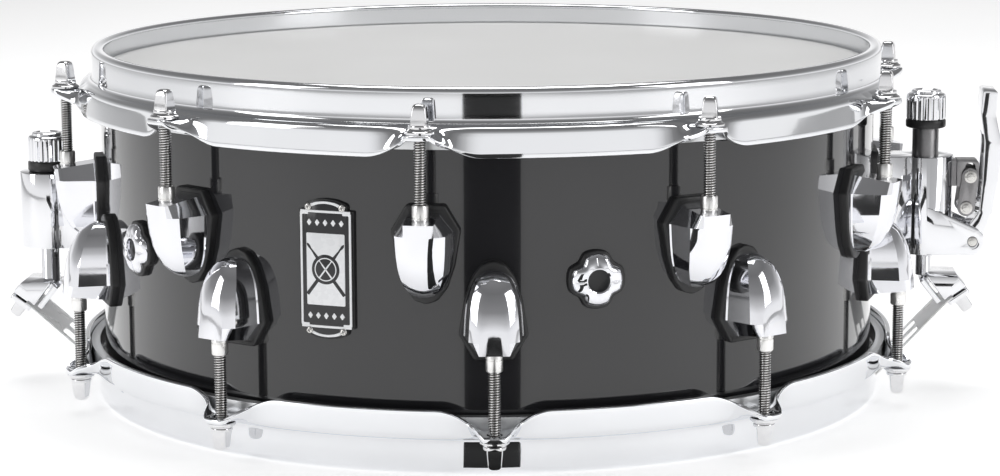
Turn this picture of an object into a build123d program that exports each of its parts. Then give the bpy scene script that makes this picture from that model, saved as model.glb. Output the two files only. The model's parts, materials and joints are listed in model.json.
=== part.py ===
from build123d import *
import math
import os

# Snare drum, 14 x 5.5 inch, ten lugs a side. Millimetres, +Z up.
# The origin is on the drum's axis, in the plane that the bottom hoop rests on.
# +X points at the strainer and -X at the butt. Heights named z_ or Z_ are measured up from mid_z,
# the drum's mid-height, unless a comment says otherwise.

INCH = 25.4
shell_radius = 14 * INCH / 2
shell_depth = 5.5 * INCH
shell_wall = 6.0
overall_height = 160.0
mid_z = overall_height / 2
lug_count = 10
lug_pitch = 360 / lug_count
first_lug = -90.0
lug_offset = 4.38
rod_circle = 193.0

shell_inner = shell_radius - shell_wall
edge_z = shell_depth / 2
film = 0.3
touch = 0.02

hoop_sheet = 2.3
hoop_wall_radius = 181.0
hoop_lip_radius = 175.2
hoop_shelf_z = 65.0
hoop_skirt_radius = 187.2
hoop_skirt_z = 52.0
hoop_top_z = overall_height / 2
ear_top_z = 62.6
ear_radius = 199.5
ear_half_width = 8.0
ear_hole_radius = 3.3
scallop_half = 26.0

rod_radius = 2.6
nut_bore_radius = rod_radius + 0.05
washer_height = 2.3
washer_radius = 6.1
rod_collar_radius = 4.7
rod_collar_height = 1.5
rod_head_z = 74.8
rod_end_z = 10.5
nut_collar_radius = 3.5
nut_body_radius = 3.9
nut_outer_z = 34.0
lug_end_z = 26.5
nut_inner_z = 14.5

gasket_face = 181.0
screw_radius = 2.4
lug_screw_z = (20.0, 2.0)
strainer_screw_z = (22.0, -6.0)
butt_screw_z = (12.0, -10.0)
screw_tip_radius = 187.3
screw_seat = shell_inner - 0.12
washer_plate = 0.7

vent_bore_radius = 4.5
vent_tube_radius = 5.9
vent_angles = (-72.0, -144.0)
badge_angle = -108.0
badge_z = 3.5

strainer_axis = 202.1
butt_axis = 206.5
housing_radius = 13.0
sleeve_radius = 6.0
knob_radius = 9.0
knob_height = 12.0
ring_radius = 9.15

strap_width = 30.0
strap_thickness = 0.6
strap_gate_half = 18.0

wire_count = 20
wire_pitch = 2.15
wire_radius = 1.0
wire_length = 300.0

lever_pivot = (223.35, -11.0)
lever_pin = (220.55, 3.9)
carriage_pin = (222.3, 18.3)
link_pin_radius = 1.7
lever_travel = 12.17


def turned(shape, degrees):
    """The shape turned about the drum's axis."""
    return Rot(0, 0, degrees) * shape


def lifted(shape):
    """From heights about the mid-plane to heights above the floor plane."""
    return Pos(0, 0, mid_z) * shape


def flipped(shape):
    """The shape mirrored top for bottom about the mid-plane."""
    return mirror(shape, Plane.XY)


def outline(points, radii=0.0):
    """A closed face from corner points, each corner rounded by its radius."""
    if not isinstance(radii, (list, tuple)):
        radii = [radii] * len(points)
    return make_face(FilletPolyline(*points, radius=radii, close=True).edges())


def ring_of(points, radii=0.0):
    """A solid of revolution about Z from a closed outline of (radius, z) points."""
    return revolve(Plane.XZ * outline(points, radii), Axis.Z, 360)


def tube(outer, inner, low, high):
    return Pos(0, 0, low) * (
        Cylinder(outer, high - low, align=(Align.CENTER, Align.CENTER, Align.MIN))
        - Cylinder(inner, high - low, align=(Align.CENTER, Align.CENTER, Align.MIN))
    )


def rod_between(radius, low, high, x=0.0, y=0.0):
    """A plain cylinder along Z."""
    body = Cylinder(radius, high - low, align=(Align.CENTER, Align.CENTER, Align.MIN))
    return Pos(x, y, low) * body


def along_x(radius, start, end, y=0.0, z=0.0):
    """A plain cylinder along X."""
    body = Cylinder(radius, end - start, align=(Align.CENTER, Align.CENTER, Align.MIN))
    return Pos(start, y, z) * Rot(0, 90, 0) * body


def along_y(radius, start, end, x=0.0, z=0.0):
    """A plain cylinder along Y."""
    body = Cylinder(radius, end - start, align=(Align.CENTER, Align.CENTER, Align.MIN))
    return Pos(x, start, z) * Rot(-90, 0, 0) * body


def plate_xz(points, start, end, radii=0.0):
    """A plate whose outline is (x, z) points, between two y values."""
    low, high = min(start, end), max(start, end)
    return Pos(0, high, 0) * extrude(Plane.XZ * outline(points, radii), high - low)


def block(x, y, z):
    """A box from (low, high) pairs."""
    size = Box(x[1] - x[0], y[1] - y[0], z[1] - z[0], align=(Align.MIN, Align.MIN, Align.MIN))
    return Pos(x[0], y[0], z[0]) * size


def upper_angles():
    return [first_lug + lug_pitch * i - lug_offset for i in range(lug_count)]


def lower_angles():
    return [first_lug + lug_pitch * i + lug_offset for i in range(lug_count)]


def all_round(shape):
    """The shape, made at +X for the upper row, at every upper place, and flipped at every lower one."""
    below = flipped(shape)
    placed = [turned(shape, a) for a in upper_angles()]
    placed += [turned(below, a) for a in lower_angles()]
    return [lifted(s) for s in placed]


def save(name, *shapes):
    """Write one node: one or more separate solids."""
    solids = [solid for shape in shapes for solid in shape.solids()]
    target = solids[0] if len(solids) == 1 else Compound(children=solids)
    export_step(target, os.path.join("parts", name + ".step"))


# ---------------------------------------------------------------- shell and heads

def screw_holes():
    """Through holes in the shell wall for every screw that comes from inside, as drills along +X."""
    drills = []
    for z in lug_screw_z:
        drill = along_x(screw_radius + 0.3, shell_inner - 4, shell_radius + 4, z=z)
        drills += [turned(drill, a) for a in upper_angles()]
        drills += [turned(flipped(drill), a) for a in lower_angles()]
    for place, heights in ((0.0, strainer_screw_z), (180.0, butt_screw_z)):
        for z in heights:
            drill = along_x(screw_radius + 0.3, shell_inner - 4, shell_radius + 4, z=z)
            drills.append(turned(drill, place))
    return drills


def shell():
    edge_peak = shell_radius - 1.5
    cut = edge_peak - shell_inner
    body = ring_of([
        (shell_inner, -edge_z + cut), (edge_peak, -edge_z), (shell_radius, -edge_z + 1.5),
        (shell_radius, edge_z - 1.5), (edge_peak, edge_z), (shell_inner, edge_z - cut),
    ])
    bed_half, bed_depth = 45.0, 2.0
    bed_radius = (bed_half ** 2 + bed_depth ** 2) / (2 * bed_depth)
    bed = along_x(bed_radius, -shell_radius - 5, shell_radius + 5, z=-edge_z - bed_radius + bed_depth)
    vent = along_x(vent_tube_radius + 0.15, shell_inner - 4, shell_radius + 4)
    drills = screw_holes() + [turned(vent, a) for a in vent_angles]
    for y, z in badge_screw_places():
        drills.append(turned(along_x(0.95, shell_radius - 3.0, shell_radius + 4, y, z), badge_angle))
    return lifted(body - bed - drills)


def head_film():
    """A stretched film with its collar, turned down over the edge and into the flesh hoop."""
    top = edge_z + film
    outer = shell_radius + 0.15
    return ring_of([
        (0, edge_z), (outer - 1.6, edge_z), (outer, edge_z - 1.6), (outer, 61.9), (182.2, 61.9),
        (182.2, 57.0), (182.5, 57.0), (182.5, 62.2), (outer + film, 62.2),
        (outer + film, edge_z - 1.45), (outer - 1.45, top), (0, top),
    ])


def flesh_hoop():
    """An aluminium channel, open towards the head, that holds the film's edge."""
    return ring_of([
        (180.3, 55.0), (184.5, 55.0), (184.5, 62.65), (183.3, 62.65), (183.3, 56.4),
        (181.4, 56.4), (181.4, 61.8), (180.3, 61.8),
    ])


def hoop(with_gates):
    """A pressed steel hoop with a turned-in top flange, a shelf, a skirt and ten ears."""
    inner_wall = hoop_wall_radius - hoop_sheet
    inner_skirt = hoop_skirt_radius - hoop_sheet
    under_shelf = hoop_shelf_z - hoop_sheet
    body = ring_of(
        [
            (hoop_lip_radius, hoop_top_z), (hoop_wall_radius, hoop_top_z),
            (hoop_wall_radius, hoop_shelf_z), (hoop_skirt_radius, hoop_shelf_z),
            (hoop_skirt_radius, hoop_skirt_z), (inner_skirt, hoop_skirt_z),
            (inner_skirt, under_shelf), (inner_wall, under_shelf),
            (inner_wall, hoop_top_z - hoop_sheet), (hoop_lip_radius, hoop_top_z - hoop_sheet),
        ],
        [0.8, 3.2, 1.2, 2.6, 0.6, 0.6, 0.4, 0.4, 0.9, 0.8],
    )
    scallop_rise = ear_top_z - hoop_sheet - hoop_skirt_z
    scallop_radius = (scallop_half ** 2 + scallop_rise ** 2) / (2 * scallop_rise)
    scallop = along_x(scallop_radius, inner_skirt - 4, ear_radius + 2,
                      z=ear_top_z - hoop_sheet - scallop_radius)
    flare = 20.0
    ear = outline(
        [
            (184.5, -flare), (187.0, -flare), (191.0, -ear_half_width), (ear_radius, -ear_half_width),
            (ear_radius, ear_half_width), (191.0, ear_half_width), (187.0, flare), (184.5, flare),
        ],
        [0, 0, 6, 7.5, 7.5, 6, 0, 0],
    )
    ear_plate = Pos(0, 0, ear_top_z - hoop_sheet) * extrude(ear, hoop_sheet)
    hole = rod_between(ear_hole_radius, hoop_skirt_z, hoop_shelf_z + 2, x=rod_circle)
    hole += rod_between(washer_radius + 0.2, ear_top_z, hoop_shelf_z + 2, x=rod_circle)
    for angle in upper_angles():
        body = body - turned(scallop, angle)
    for angle in upper_angles():
        body = body + turned(ear_plate, angle) - turned(hole, angle)
    if with_gates:
        gate = block((inner_wall - 6, hoop_wall_radius + 1.2), (-strap_gate_half, strap_gate_half),
                     (hoop_shelf_z + 1.0, hoop_top_z - hoop_sheet - 0.7))
        turn = upper_angles()[0] - lower_angles()[0]
        for place in (0.0, 180.0):
            body = body - turned(gate, place + turn)
    return body


def hoops():
    batter = lifted(hoop(False))
    turn = lower_angles()[0] - upper_angles()[0]
    snare = lifted(turned(flipped(hoop(True)), turn))
    return batter, snare


# ---------------------------------------------------------------- tension rods and lugs

def tension_rod():
    """A threaded rod with a round collar and a tapered square head, made at +X for the upper row."""
    collar_low = ear_top_z + washer_height
    collar_high = collar_low + rod_collar_height
    body = rod_between(rod_radius, rod_end_z, collar_low)
    body += rod_between(rod_collar_radius, collar_low, collar_high)
    head = loft([
        Pos(0, 0, collar_high) * RectangleRounded(6.6, 6.6, 0.8),
        Pos(0, 0, rod_head_z - 1.2) * RectangleRounded(5.6, 5.6, 0.8),
        Pos(0, 0, rod_head_z) * RectangleRounded(4.4, 4.4, 1.2),
    ], ruled=True)
    return Pos(rod_circle, 0, 0) * (body + head)


def tension_washer():
    low = ear_top_z
    return Pos(rod_circle, 0, 0) * tube(washer_radius, rod_radius + 0.35, low, low + washer_height)


def swivel_nut():
    body = rod_between(nut_body_radius, nut_inner_z, lug_end_z)
    body += rod_between(nut_collar_radius, lug_end_z, nut_outer_z)
    body -= rod_between(nut_bore_radius, nut_inner_z, nut_outer_z)
    return Pos(rod_circle, 0, 0) * body


def lug_gasket():
    """Rubber pad under the lug, hollowed to the shell's curve."""
    pad = Plane.YZ * outline(
        [(-8.0, 32.0), (8.0, 32.0), (14.3, 21.5), (11.9, 7.0), (8.7, -2.5), (4.8, -7.6), (0.0, -9.2),
         (-4.8, -7.6), (-8.7, -2.5), (-11.9, 7.0), (-14.3, 21.5)],
        [1.5, 1.5, 2.0, 12.0, 8.0, 5.0, 5.0, 5.0, 8.0, 12.0, 2.0],
    )
    pad = Pos(shell_radius - 4, 0, 0) * extrude(pad, gasket_face - shell_radius + 4)
    pad -= rod_between(shell_radius + touch, -20, 40)
    for z in lug_screw_z:
        pad -= along_x(screw_radius + 0.3, shell_inner, gasket_face + 2, z=z)
    return pad


def cut_by(shape, a, b, c, inside):
    """The side of the plane through a, b and c that holds the point inside."""
    a, b, c, inside = Vector(*a), Vector(*b), Vector(*c), Vector(*inside)
    normal = (b - a).cross(c - a)
    if (inside - a).dot(normal) > 0:
        normal = normal * -1
    return split(shape, bisect_by=Plane(origin=a, z_dir=normal), keep=Keep.BOTTOM)


def lug_casing():
    """A faceted die-cast lug: wide at the rod's end, tapering along the shell to a rounded nose."""
    profile = [
        (gasket_face, lug_end_z), (199.5, lug_end_z), (198.1, 14.0), (195.6, 6.0), (193.2, 2.0),
        (188.2, -2.5), (183.5, -4.4), (gasket_face, -4.4),
    ]
    body = plate_xz(profile, -12.2, 12.2, [0, 0, 10, 6, 6, 4, 1.5, 0])
    middle = (186.0, 0.0, 12.0)
    for side in (-1, 1):
        body = cut_by(body, (182.0, 12.2 * side, 22.0), (195.0, 10.3 * side, 22.0),
                      (187.0, 8.3 * side, 2.0), middle)
        body = cut_by(body, (195.0, 10.3 * side, 22.0), (198.8, 5.2 * side, 22.0),
                      (193.0, 2.5 * side, 2.0), middle)
        body = cut_by(body, (182.0, 8.6 * side, 2.0), (190.0, 7.2 * side, 2.0),
                      (184.0, 3.4 * side, -4.0), middle)
        body = cut_by(body, (185.0, 6.2 * side, lug_end_z), (195.0, 6.2 * side, lug_end_z),
                      (190.0, 10.3 * side, 22.0), middle)
    foot = Plane.YZ * outline(
        [(-6.5, 29.0), (6.5, 29.0), (12.4, 21.0), (10.2, 6.0), (7.2, -3.0), (3.6, -6.2), (-3.6, -6.2),
         (-7.2, -3.0), (-10.2, 6.0), (-12.4, 21.0)],
        [1.5, 1.5, 2.0, 10.0, 6.0, 3.0, 3.0, 6.0, 10.0, 2.0],
    )
    body += Pos(gasket_face, 0, 0) * extrude(foot, 1.6)
    body -= rod_between(nut_body_radius + touch, nut_inner_z, lug_end_z + 1, x=rod_circle)
    body -= rod_between(3.1, 9.5, nut_inner_z, x=rod_circle)
    for z in lug_screw_z:
        body -= along_x(screw_radius + 0.1, gasket_face - 1, screw_tip_radius + 0.4, z=z)
    return body


# ---------------------------------------------------------------- screws from inside the shell

def shell_screw(z):
    """A screw whose washer bears on the shell's inner wall, made at +X."""
    seat = screw_seat - washer_plate
    body = along_x(screw_radius, seat, screw_tip_radius, z=z)
    body += along_x(4.4, seat - 2.8, seat, z=z)
    slot = block((seat - 3, seat - 1.4), (-3.2, 3.2), (z - 0.5, z + 0.5))
    return body - slot


def shell_screw_washer(z):
    plate = along_x(6.0, screw_seat - washer_plate, screw_seat, z=z)
    return plate - along_x(screw_radius + 0.15, screw_seat - 2, screw_seat + 1, z=z)


def at_every_screw(maker):
    places = []
    for z in lug_screw_z:
        places += all_round(maker(z))
    for place, heights in ((0.0, strainer_screw_z), (180.0, butt_screw_z)):
        places += [lifted(turned(maker(z), place)) for z in heights]
    return places


# ---------------------------------------------------------------- vents and badge

def lobed_outline(lobe, waist):
    """A rosette: four broad lobes up, down and to each side, with a shallow waist between them."""
    points = []
    for i in range(4):
        for turn, radius in ((-20, lobe), (0, lobe * 1.02), (20, lobe), (45, waist)):
            angle = math.radians(90 * i + turn)
            points.append((radius * math.cos(angle), radius * math.sin(angle)))
    return outline(points, [1.8, 6.0, 1.8, 3.0] * 4)


def vent_parts():
    """Grommet, gasket and inner retainer of one vent, made at +X on the mid-plane."""
    gasket_top = shell_radius + 2.4
    rosette = Pos(gasket_top, 0, 0) * extrude(Plane.YZ * lobed_outline(10.9, 9.0), 3.4)
    pipe = along_x(vent_tube_radius, shell_inner - 3.0, gasket_top + 1)
    bore = along_x(vent_bore_radius, shell_inner - 6, gasket_top + 6)
    grommet = rosette + pipe - bore
    gasket = Pos(shell_radius - 3, 0, 0) * extrude(Plane.YZ * lobed_outline(12.2, 10.4), 5.4)
    gasket -= rod_between(shell_radius + touch, -20, 20)
    gasket -= along_x(vent_tube_radius + 0.1, shell_inner, gasket_top + 6)
    seat = shell_inner - 0.3
    retainer = along_x(9.0, seat - 2.0, seat) - along_x(vent_tube_radius + 0.05, seat - 4, seat + 1)
    return grommet, gasket, retainer


def badge_outline(grow=0.0):
    """A plate with a rounded tab above and below."""
    half, tab = 12.4 + grow, 9.6 + grow
    body, top = 24.6 + grow, 29.4 + grow
    points = [
        (half, -body), (half, body), (tab, body), (tab, top), (-tab, top), (-tab, body),
        (-half, body), (-half, -body), (-tab, -body), (-tab, -top), (tab, -top), (tab, -body),
    ]
    return outline(points, [0.6, 0.6, 0.4, 3.6, 3.6, 0.4, 0.6, 0.6, 0.4, 3.6, 3.6, 0.4])


def badge_screw_places():
    return [(y, badge_z + z) for y in (-7.6, 7.6) for z in (-25.8, 25.8)]


def badge_parts():
    """Backing and plate follow the shell's curve, made at +X."""
    backing_face = shell_radius + 1.8
    plate_face = backing_face + 0.7
    block_in = Pos(shell_radius - 8, 0, badge_z) * extrude(Plane.YZ * badge_outline(), 16)
    backing = block_in & tube(backing_face, shell_radius + touch, -60, 60)
    small = Pos(shell_radius - 8, 0, badge_z) * extrude(Plane.YZ * badge_outline(-0.5), 16)
    plate = small & tube(plate_face, backing_face + touch, -60, 60)
    screws = []
    for y, z in badge_screw_places():
        drill = along_x(0.95, shell_radius - 3, plate_face + 2, y, z)
        backing -= drill
        plate -= drill
        screws.append(along_x(0.85, shell_radius - 2.8, plate_face, y, z)
                      + along_x(1.5, plate_face, plate_face + 0.9, y, z))
    return backing, plate, screws


# ---------------------------------------------------------------- snares

def snare_wires():
    z = -edge_z - film - 0.5 - wire_radius
    wires = []
    for i in range(wire_count):
        y = (i - (wire_count - 1) / 2) * wire_pitch
        wires.append(lifted(along_x(wire_radius, -wire_length / 2, wire_length / 2, y, z)))
    return wires


def snare_end_plates():
    """Strips soldered under the wires' ends."""
    top = -edge_z - film - 0.5 - 2 * wire_radius
    plates = []
    for side in (-1, 1):
        x = sorted((side * (wire_length / 2 - 12), side * (wire_length / 2 + 4)))
        plates.append(lifted(block(x, (-21.5, 21.5), (top - 1.0, top))))
    return plates


def strap(clamp_corner):
    """A flat strap from a snare end plate, out under the edge and up to a clamp, made at +X."""
    low = -edge_z - film - 0.5 - 2 * wire_radius - 1.0 - touch
    start = (wire_length / 2 - 6, low - strap_thickness / 2)
    bend = (179.6, low - strap_thickness / 2)
    u, z = clamp_corner
    face = clamp_face_direction()
    gap = clamp_gap / 2
    corner = (u + gap * face[1] + 1.0 * face[0], z - gap * face[0] + 1.0 * face[1])
    end = (corner[0] + 2.8 * face[0], corner[1] + 2.8 * face[1])
    path = FilletPolyline(start, bend, corner, end, radius=[4.0, 1.2])
    band = trace(path, strap_thickness)
    return Pos(0, strap_width / 2, 0) * extrude(Plane.XZ * band, strap_width)


# ---------------------------------------------------------------- knobs and clamps

def knob(low, spindle_low):
    """Fluted knob with a stepped cap and a threaded spindle, on the Z axis."""
    body = Circle(knob_radius)
    for i in range(18):
        body -= Rot(0, 0, 20 * i) * Pos(knob_radius + 0.35, 0) * Circle(1.1)
    head = Pos(0, 0, low) * extrude(body, knob_height)
    head += Pos(0, 0, low + knob_height) * extrude(Circle(6.2), 1.5, taper=20)
    return head + rod_between(2.1, spindle_low, low + 1)


def knob_ring(low, high):
    return tube(ring_radius, 2.2, low, high)


clamp_length = 27.0
clamp_gap = 1.0
clamp_shape = [(0.0, 0.0), (14.5, -0.3), (18.4, -4.4), (8.8, -11.4)]


def clamp_face_direction():
    """Unit vector (u, z) along the clamp face, from its lower corner outwards and up."""
    low, high = clamp_shape[3], clamp_shape[2]
    length = math.hypot(high[0] - low[0], high[1] - low[1])
    return (high[0] - low[0]) / length, (high[1] - low[1]) / length


def clamp_screw_plane(corner):
    """The clamp screw's own plane: origin at the middle of the clamp face, z_dir out of it."""
    face = clamp_face_direction()
    mid = [(clamp_shape[2][i] + clamp_shape[3][i]) / 2 for i in (0, 1)]
    origin = (corner[0] + mid[0], 0, corner[1] + mid[1])
    return Plane(origin=origin, x_dir=(0, 1, 0), z_dir=(face[1], 0, -face[0]))


def clamp_parts(axis, post_radius, post_top, corner):
    """Block with its post and back plate, the jaw, and the drum-key screw, at +X. corner is (u, z)."""
    half = clamp_length / 2
    at = [(corner[0] + u, corner[1] + z) for u, z in clamp_shape]
    body = plate_xz(at, -half, half, [0.6, 1.0, 1.0, 0.8])
    along = (at[3][0] - at[0][0], at[3][1] - at[0][1])
    length = math.hypot(*along)
    along = (along[0] / length, along[1] / length)
    away = (along[1], -along[0])

    def beside(distance, slide):
        return (at[0][0] + away[0] * distance + along[0] * slide,
                at[0][1] + away[1] * distance + along[1] * slide)

    back = [beside(1.4, 0.5), beside(3.9, 0.5), beside(3.9, length - 1.0), beside(1.4, length - 1.0)]
    body += plate_xz(back, -half, half, 0.4)
    web = [beside(-1.0, 1.0), beside(2.0, 1.0), beside(2.0, 4.0), beside(-1.0, 4.0)]
    body += plate_xz(web, -half + 3, half - 3)
    body += rod_between(post_radius, corner[1] - 1.5, post_top, x=axis)
    body -= rod_between(2.2, corner[1] + 4.0, post_top + 1, x=axis)
    plane = clamp_screw_plane(corner)
    inner = Pos(0, 0, -7.0) * Cylinder(1.9, 8.0, align=(Align.CENTER, Align.CENTER, Align.MIN))
    body -= plane * inner
    jaw = plane * Pos(0, 0, clamp_gap + 1.3) * Box(clamp_length - 1, 11.0, 2.6)
    jaw = fillet(jaw.edges().filter_by(Axis(plane.origin, plane.z_dir)), 1.0)
    jaw -= plane * Cylinder(2.1, 12.0)
    shank = Cylinder(1.8, 9.5, align=(Align.CENTER, Align.CENTER, Align.MIN))
    seat = clamp_gap + 2.6
    flange = Pos(0, 0, seat) * Cylinder(4.4, 1.6, align=(Align.CENTER, Align.CENTER, Align.MIN))
    head = loft([Pos(0, 0, seat + 1.6) * RectangleRounded(6.2, 6.2, 0.7),
                 Pos(0, 0, seat + 7.6) * RectangleRounded(5.4, 5.4, 0.7),
                 Pos(0, 0, seat + 8.6) * RectangleRounded(4.4, 4.4, 1.0)], ruled=True)
    screw = plane * (Pos(0, 0, -6.0) * shank + flange + head)
    return body, jaw, screw


# ---------------------------------------------------------------- strainer

def mount_gasket(low, high, screws):
    pad = Pos(shell_radius - 4, 0, (low + high) / 2) * extrude(
        Plane.YZ * RectangleRounded(31, high - low, 4), 6.2)
    pad -= rod_between(shell_radius + touch, low - 5, high + 5)
    for z in screws:
        pad -= along_x(screw_radius + 0.3, shell_inner, shell_radius + 10, z=z)
    return pad


def housing(axis, low, high, screws):
    """A cylinder on a saddle that stands on the shell's gasket, bored for the screws."""
    foot_face = shell_radius + 2.2
    body = rod_between(housing_radius, low, high, x=axis)
    body += block((foot_face, axis), (-11.0, 11.0), (low, high))
    body += Pos(foot_face, 0, (low + high) / 2) * extrude(
        Plane.YZ * RectangleRounded(28, high - low + 2, 3.5), 2.6)
    for z in screws:
        body -= along_x(screw_radius + 0.1, foot_face - 1, screw_tip_radius + 0.4, z=z)
    return body


strainer_low, strainer_high = -17.5, 27.6
butt_low, butt_high = -17.3, 18.0
arm_half = 4.2
arm_block_half = 6.4
cheek_in, cheek_out = 10.7, 13.0


def strainer_housing():
    body = housing(strainer_axis, strainer_low, strainer_high, strainer_screw_z)
    cheek = [(strainer_axis, -17.3), (228.5, -17.3), (228.5, -8.2), (226.0, -5.6), (207.9, 2.7),
             (strainer_axis, 4.5)]
    for side in (-1, 1):
        body += plate_xz(cheek, side * cheek_in, side * cheek_out, [0, 5, 2.5, 2, 0, 0])
    body -= rod_between(sleeve_radius + 0.1, strainer_low - 1, strainer_high + 1, x=strainer_axis)
    body -= block((strainer_axis, strainer_axis + housing_radius + 2),
                  (-arm_half - 0.4, arm_half + 0.4), (0.4, 26.2))
    body -= along_y(2.25, -20, 20, *lever_pivot)
    return body


def strainer_carriage():
    """Sleeve that slides in the housing, with the arm that the toggle links hold."""
    body = rod_between(sleeve_radius, -14.0, 40.0, x=strainer_axis)
    body += block((strainer_axis, 216.6), (-arm_half, arm_half), (13.4, 25.4))
    body += plate_xz([(216.2, 13.4), (226.4, 13.4), (226.4, 25.4), (216.2, 25.4)],
                     -arm_block_half, arm_block_half, [0.8, 0.8, 1.6, 0.8])
    slot_low, slot_high = carriage_pin[1] - 0.5, carriage_pin[1] + 4.5
    slot = plate_xz([(carriage_pin[0] - 2.2, slot_low - 1.9), (carriage_pin[0] + 2.2, slot_low - 1.9),
                     (carriage_pin[0] + 2.2, slot_high + 1.7), (carriage_pin[0] - 2.2, slot_high + 1.7)],
                    -12, 12, 1.8)
    body -= slot
    body -= rod_between(3.55, -15.0, 12.0, x=strainer_axis)
    return body - rod_between(2.25, 11.0, 41.0, x=strainer_axis)


def throw_lever():
    """A curved channel, open towards the drum, that ends in a solid finger paddle."""
    outer = [(226.2, -13.6), (228.6, -8.0), (232.6, 4.0), (234.8, 16.7), (236.1, 33.0), (233.0, 47.0),
             (233.8, 58.0), (227.0, 58.6), (226.3, 47.5), (228.3, 35.0), (227.6, 16.0), (226.4, 2.0),
             (221.0, -5.0), (219.4, -11.0), (221.4, -14.6)]
    body = plate_xz(outer, -10.0, 10.0, [3, 4, 20, 20, 9, 12, 1.2, 1.6, 12, 8, 10, 6, 4, 3, 2.5])
    hollow = [(214.0, -18.0), (223.5, -18.0), (226.2, -8.0), (230.0, 4.5), (232.2, 16.7), (233.2, 30.0),
              (231.0, 38.0), (214.0, 38.0)]
    body -= plate_xz(hollow, -7.6, 7.6, [0, 3, 6, 10, 10, 4, 3, 0])
    for side in (-1, 1):
        ear = plate_xz([(lever_pin[0] - 3.2, lever_pin[1] - 3.2), (231.6, lever_pin[1] - 3.2),
                        (231.6, lever_pin[1] + 3.2), (lever_pin[0] - 3.2, lever_pin[1] + 3.2)],
                       side * 4.4, side * 6.4, [3.1, 0, 0, 3.1])
        body += ear
    for side in (-1, 1):
        body += block((229.6, 232.4), sorted((side * 4.4, side * 7.7)),
                      (lever_pin[1] - 3.2, lever_pin[1] + 3.2))
    body -= along_y(2.3, -20, 20, *lever_pivot)
    return body - along_y(link_pin_radius + 0.08, -7.0, 7.0, *lever_pin)


def toggle_linkage():
    """Two link plates, one each side, joined by their two pins, with a clip on each pin end."""
    direction = Vector(carriage_pin[0] - lever_pin[0], 0, carriage_pin[1] - lever_pin[1])
    angle = math.degrees(math.atan2(direction.X, direction.Z))
    plates, pins = [], []
    middle = ((carriage_pin[0] + lever_pin[0]) / 2, (carriage_pin[1] + lever_pin[1]) / 2)
    for side in (-1, 1):
        strip = Plane.XZ * SlotCenterToCenter(direction.length, 7.8, rotation=90 - angle)
        strip = Pos(middle[0], max(side * 6.8, side * 8.2), middle[1]) * extrude(strip, 1.4)
        for pin in (lever_pin, carriage_pin):
            strip -= along_y(link_pin_radius + touch, -20, 20, *pin)
        plates.append(strip)
    for pin in (lever_pin, carriage_pin):
        body = along_y(link_pin_radius, -9.6, 9.6, *pin)
        for side in (-1, 1):
            low = min(side * 8.25, side * 9.05)
            body += along_y(2.9, low, low + 0.8, *pin)
        pins.append(body)
    return plates, pins


# ---------------------------------------------------------------- write every node

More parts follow.
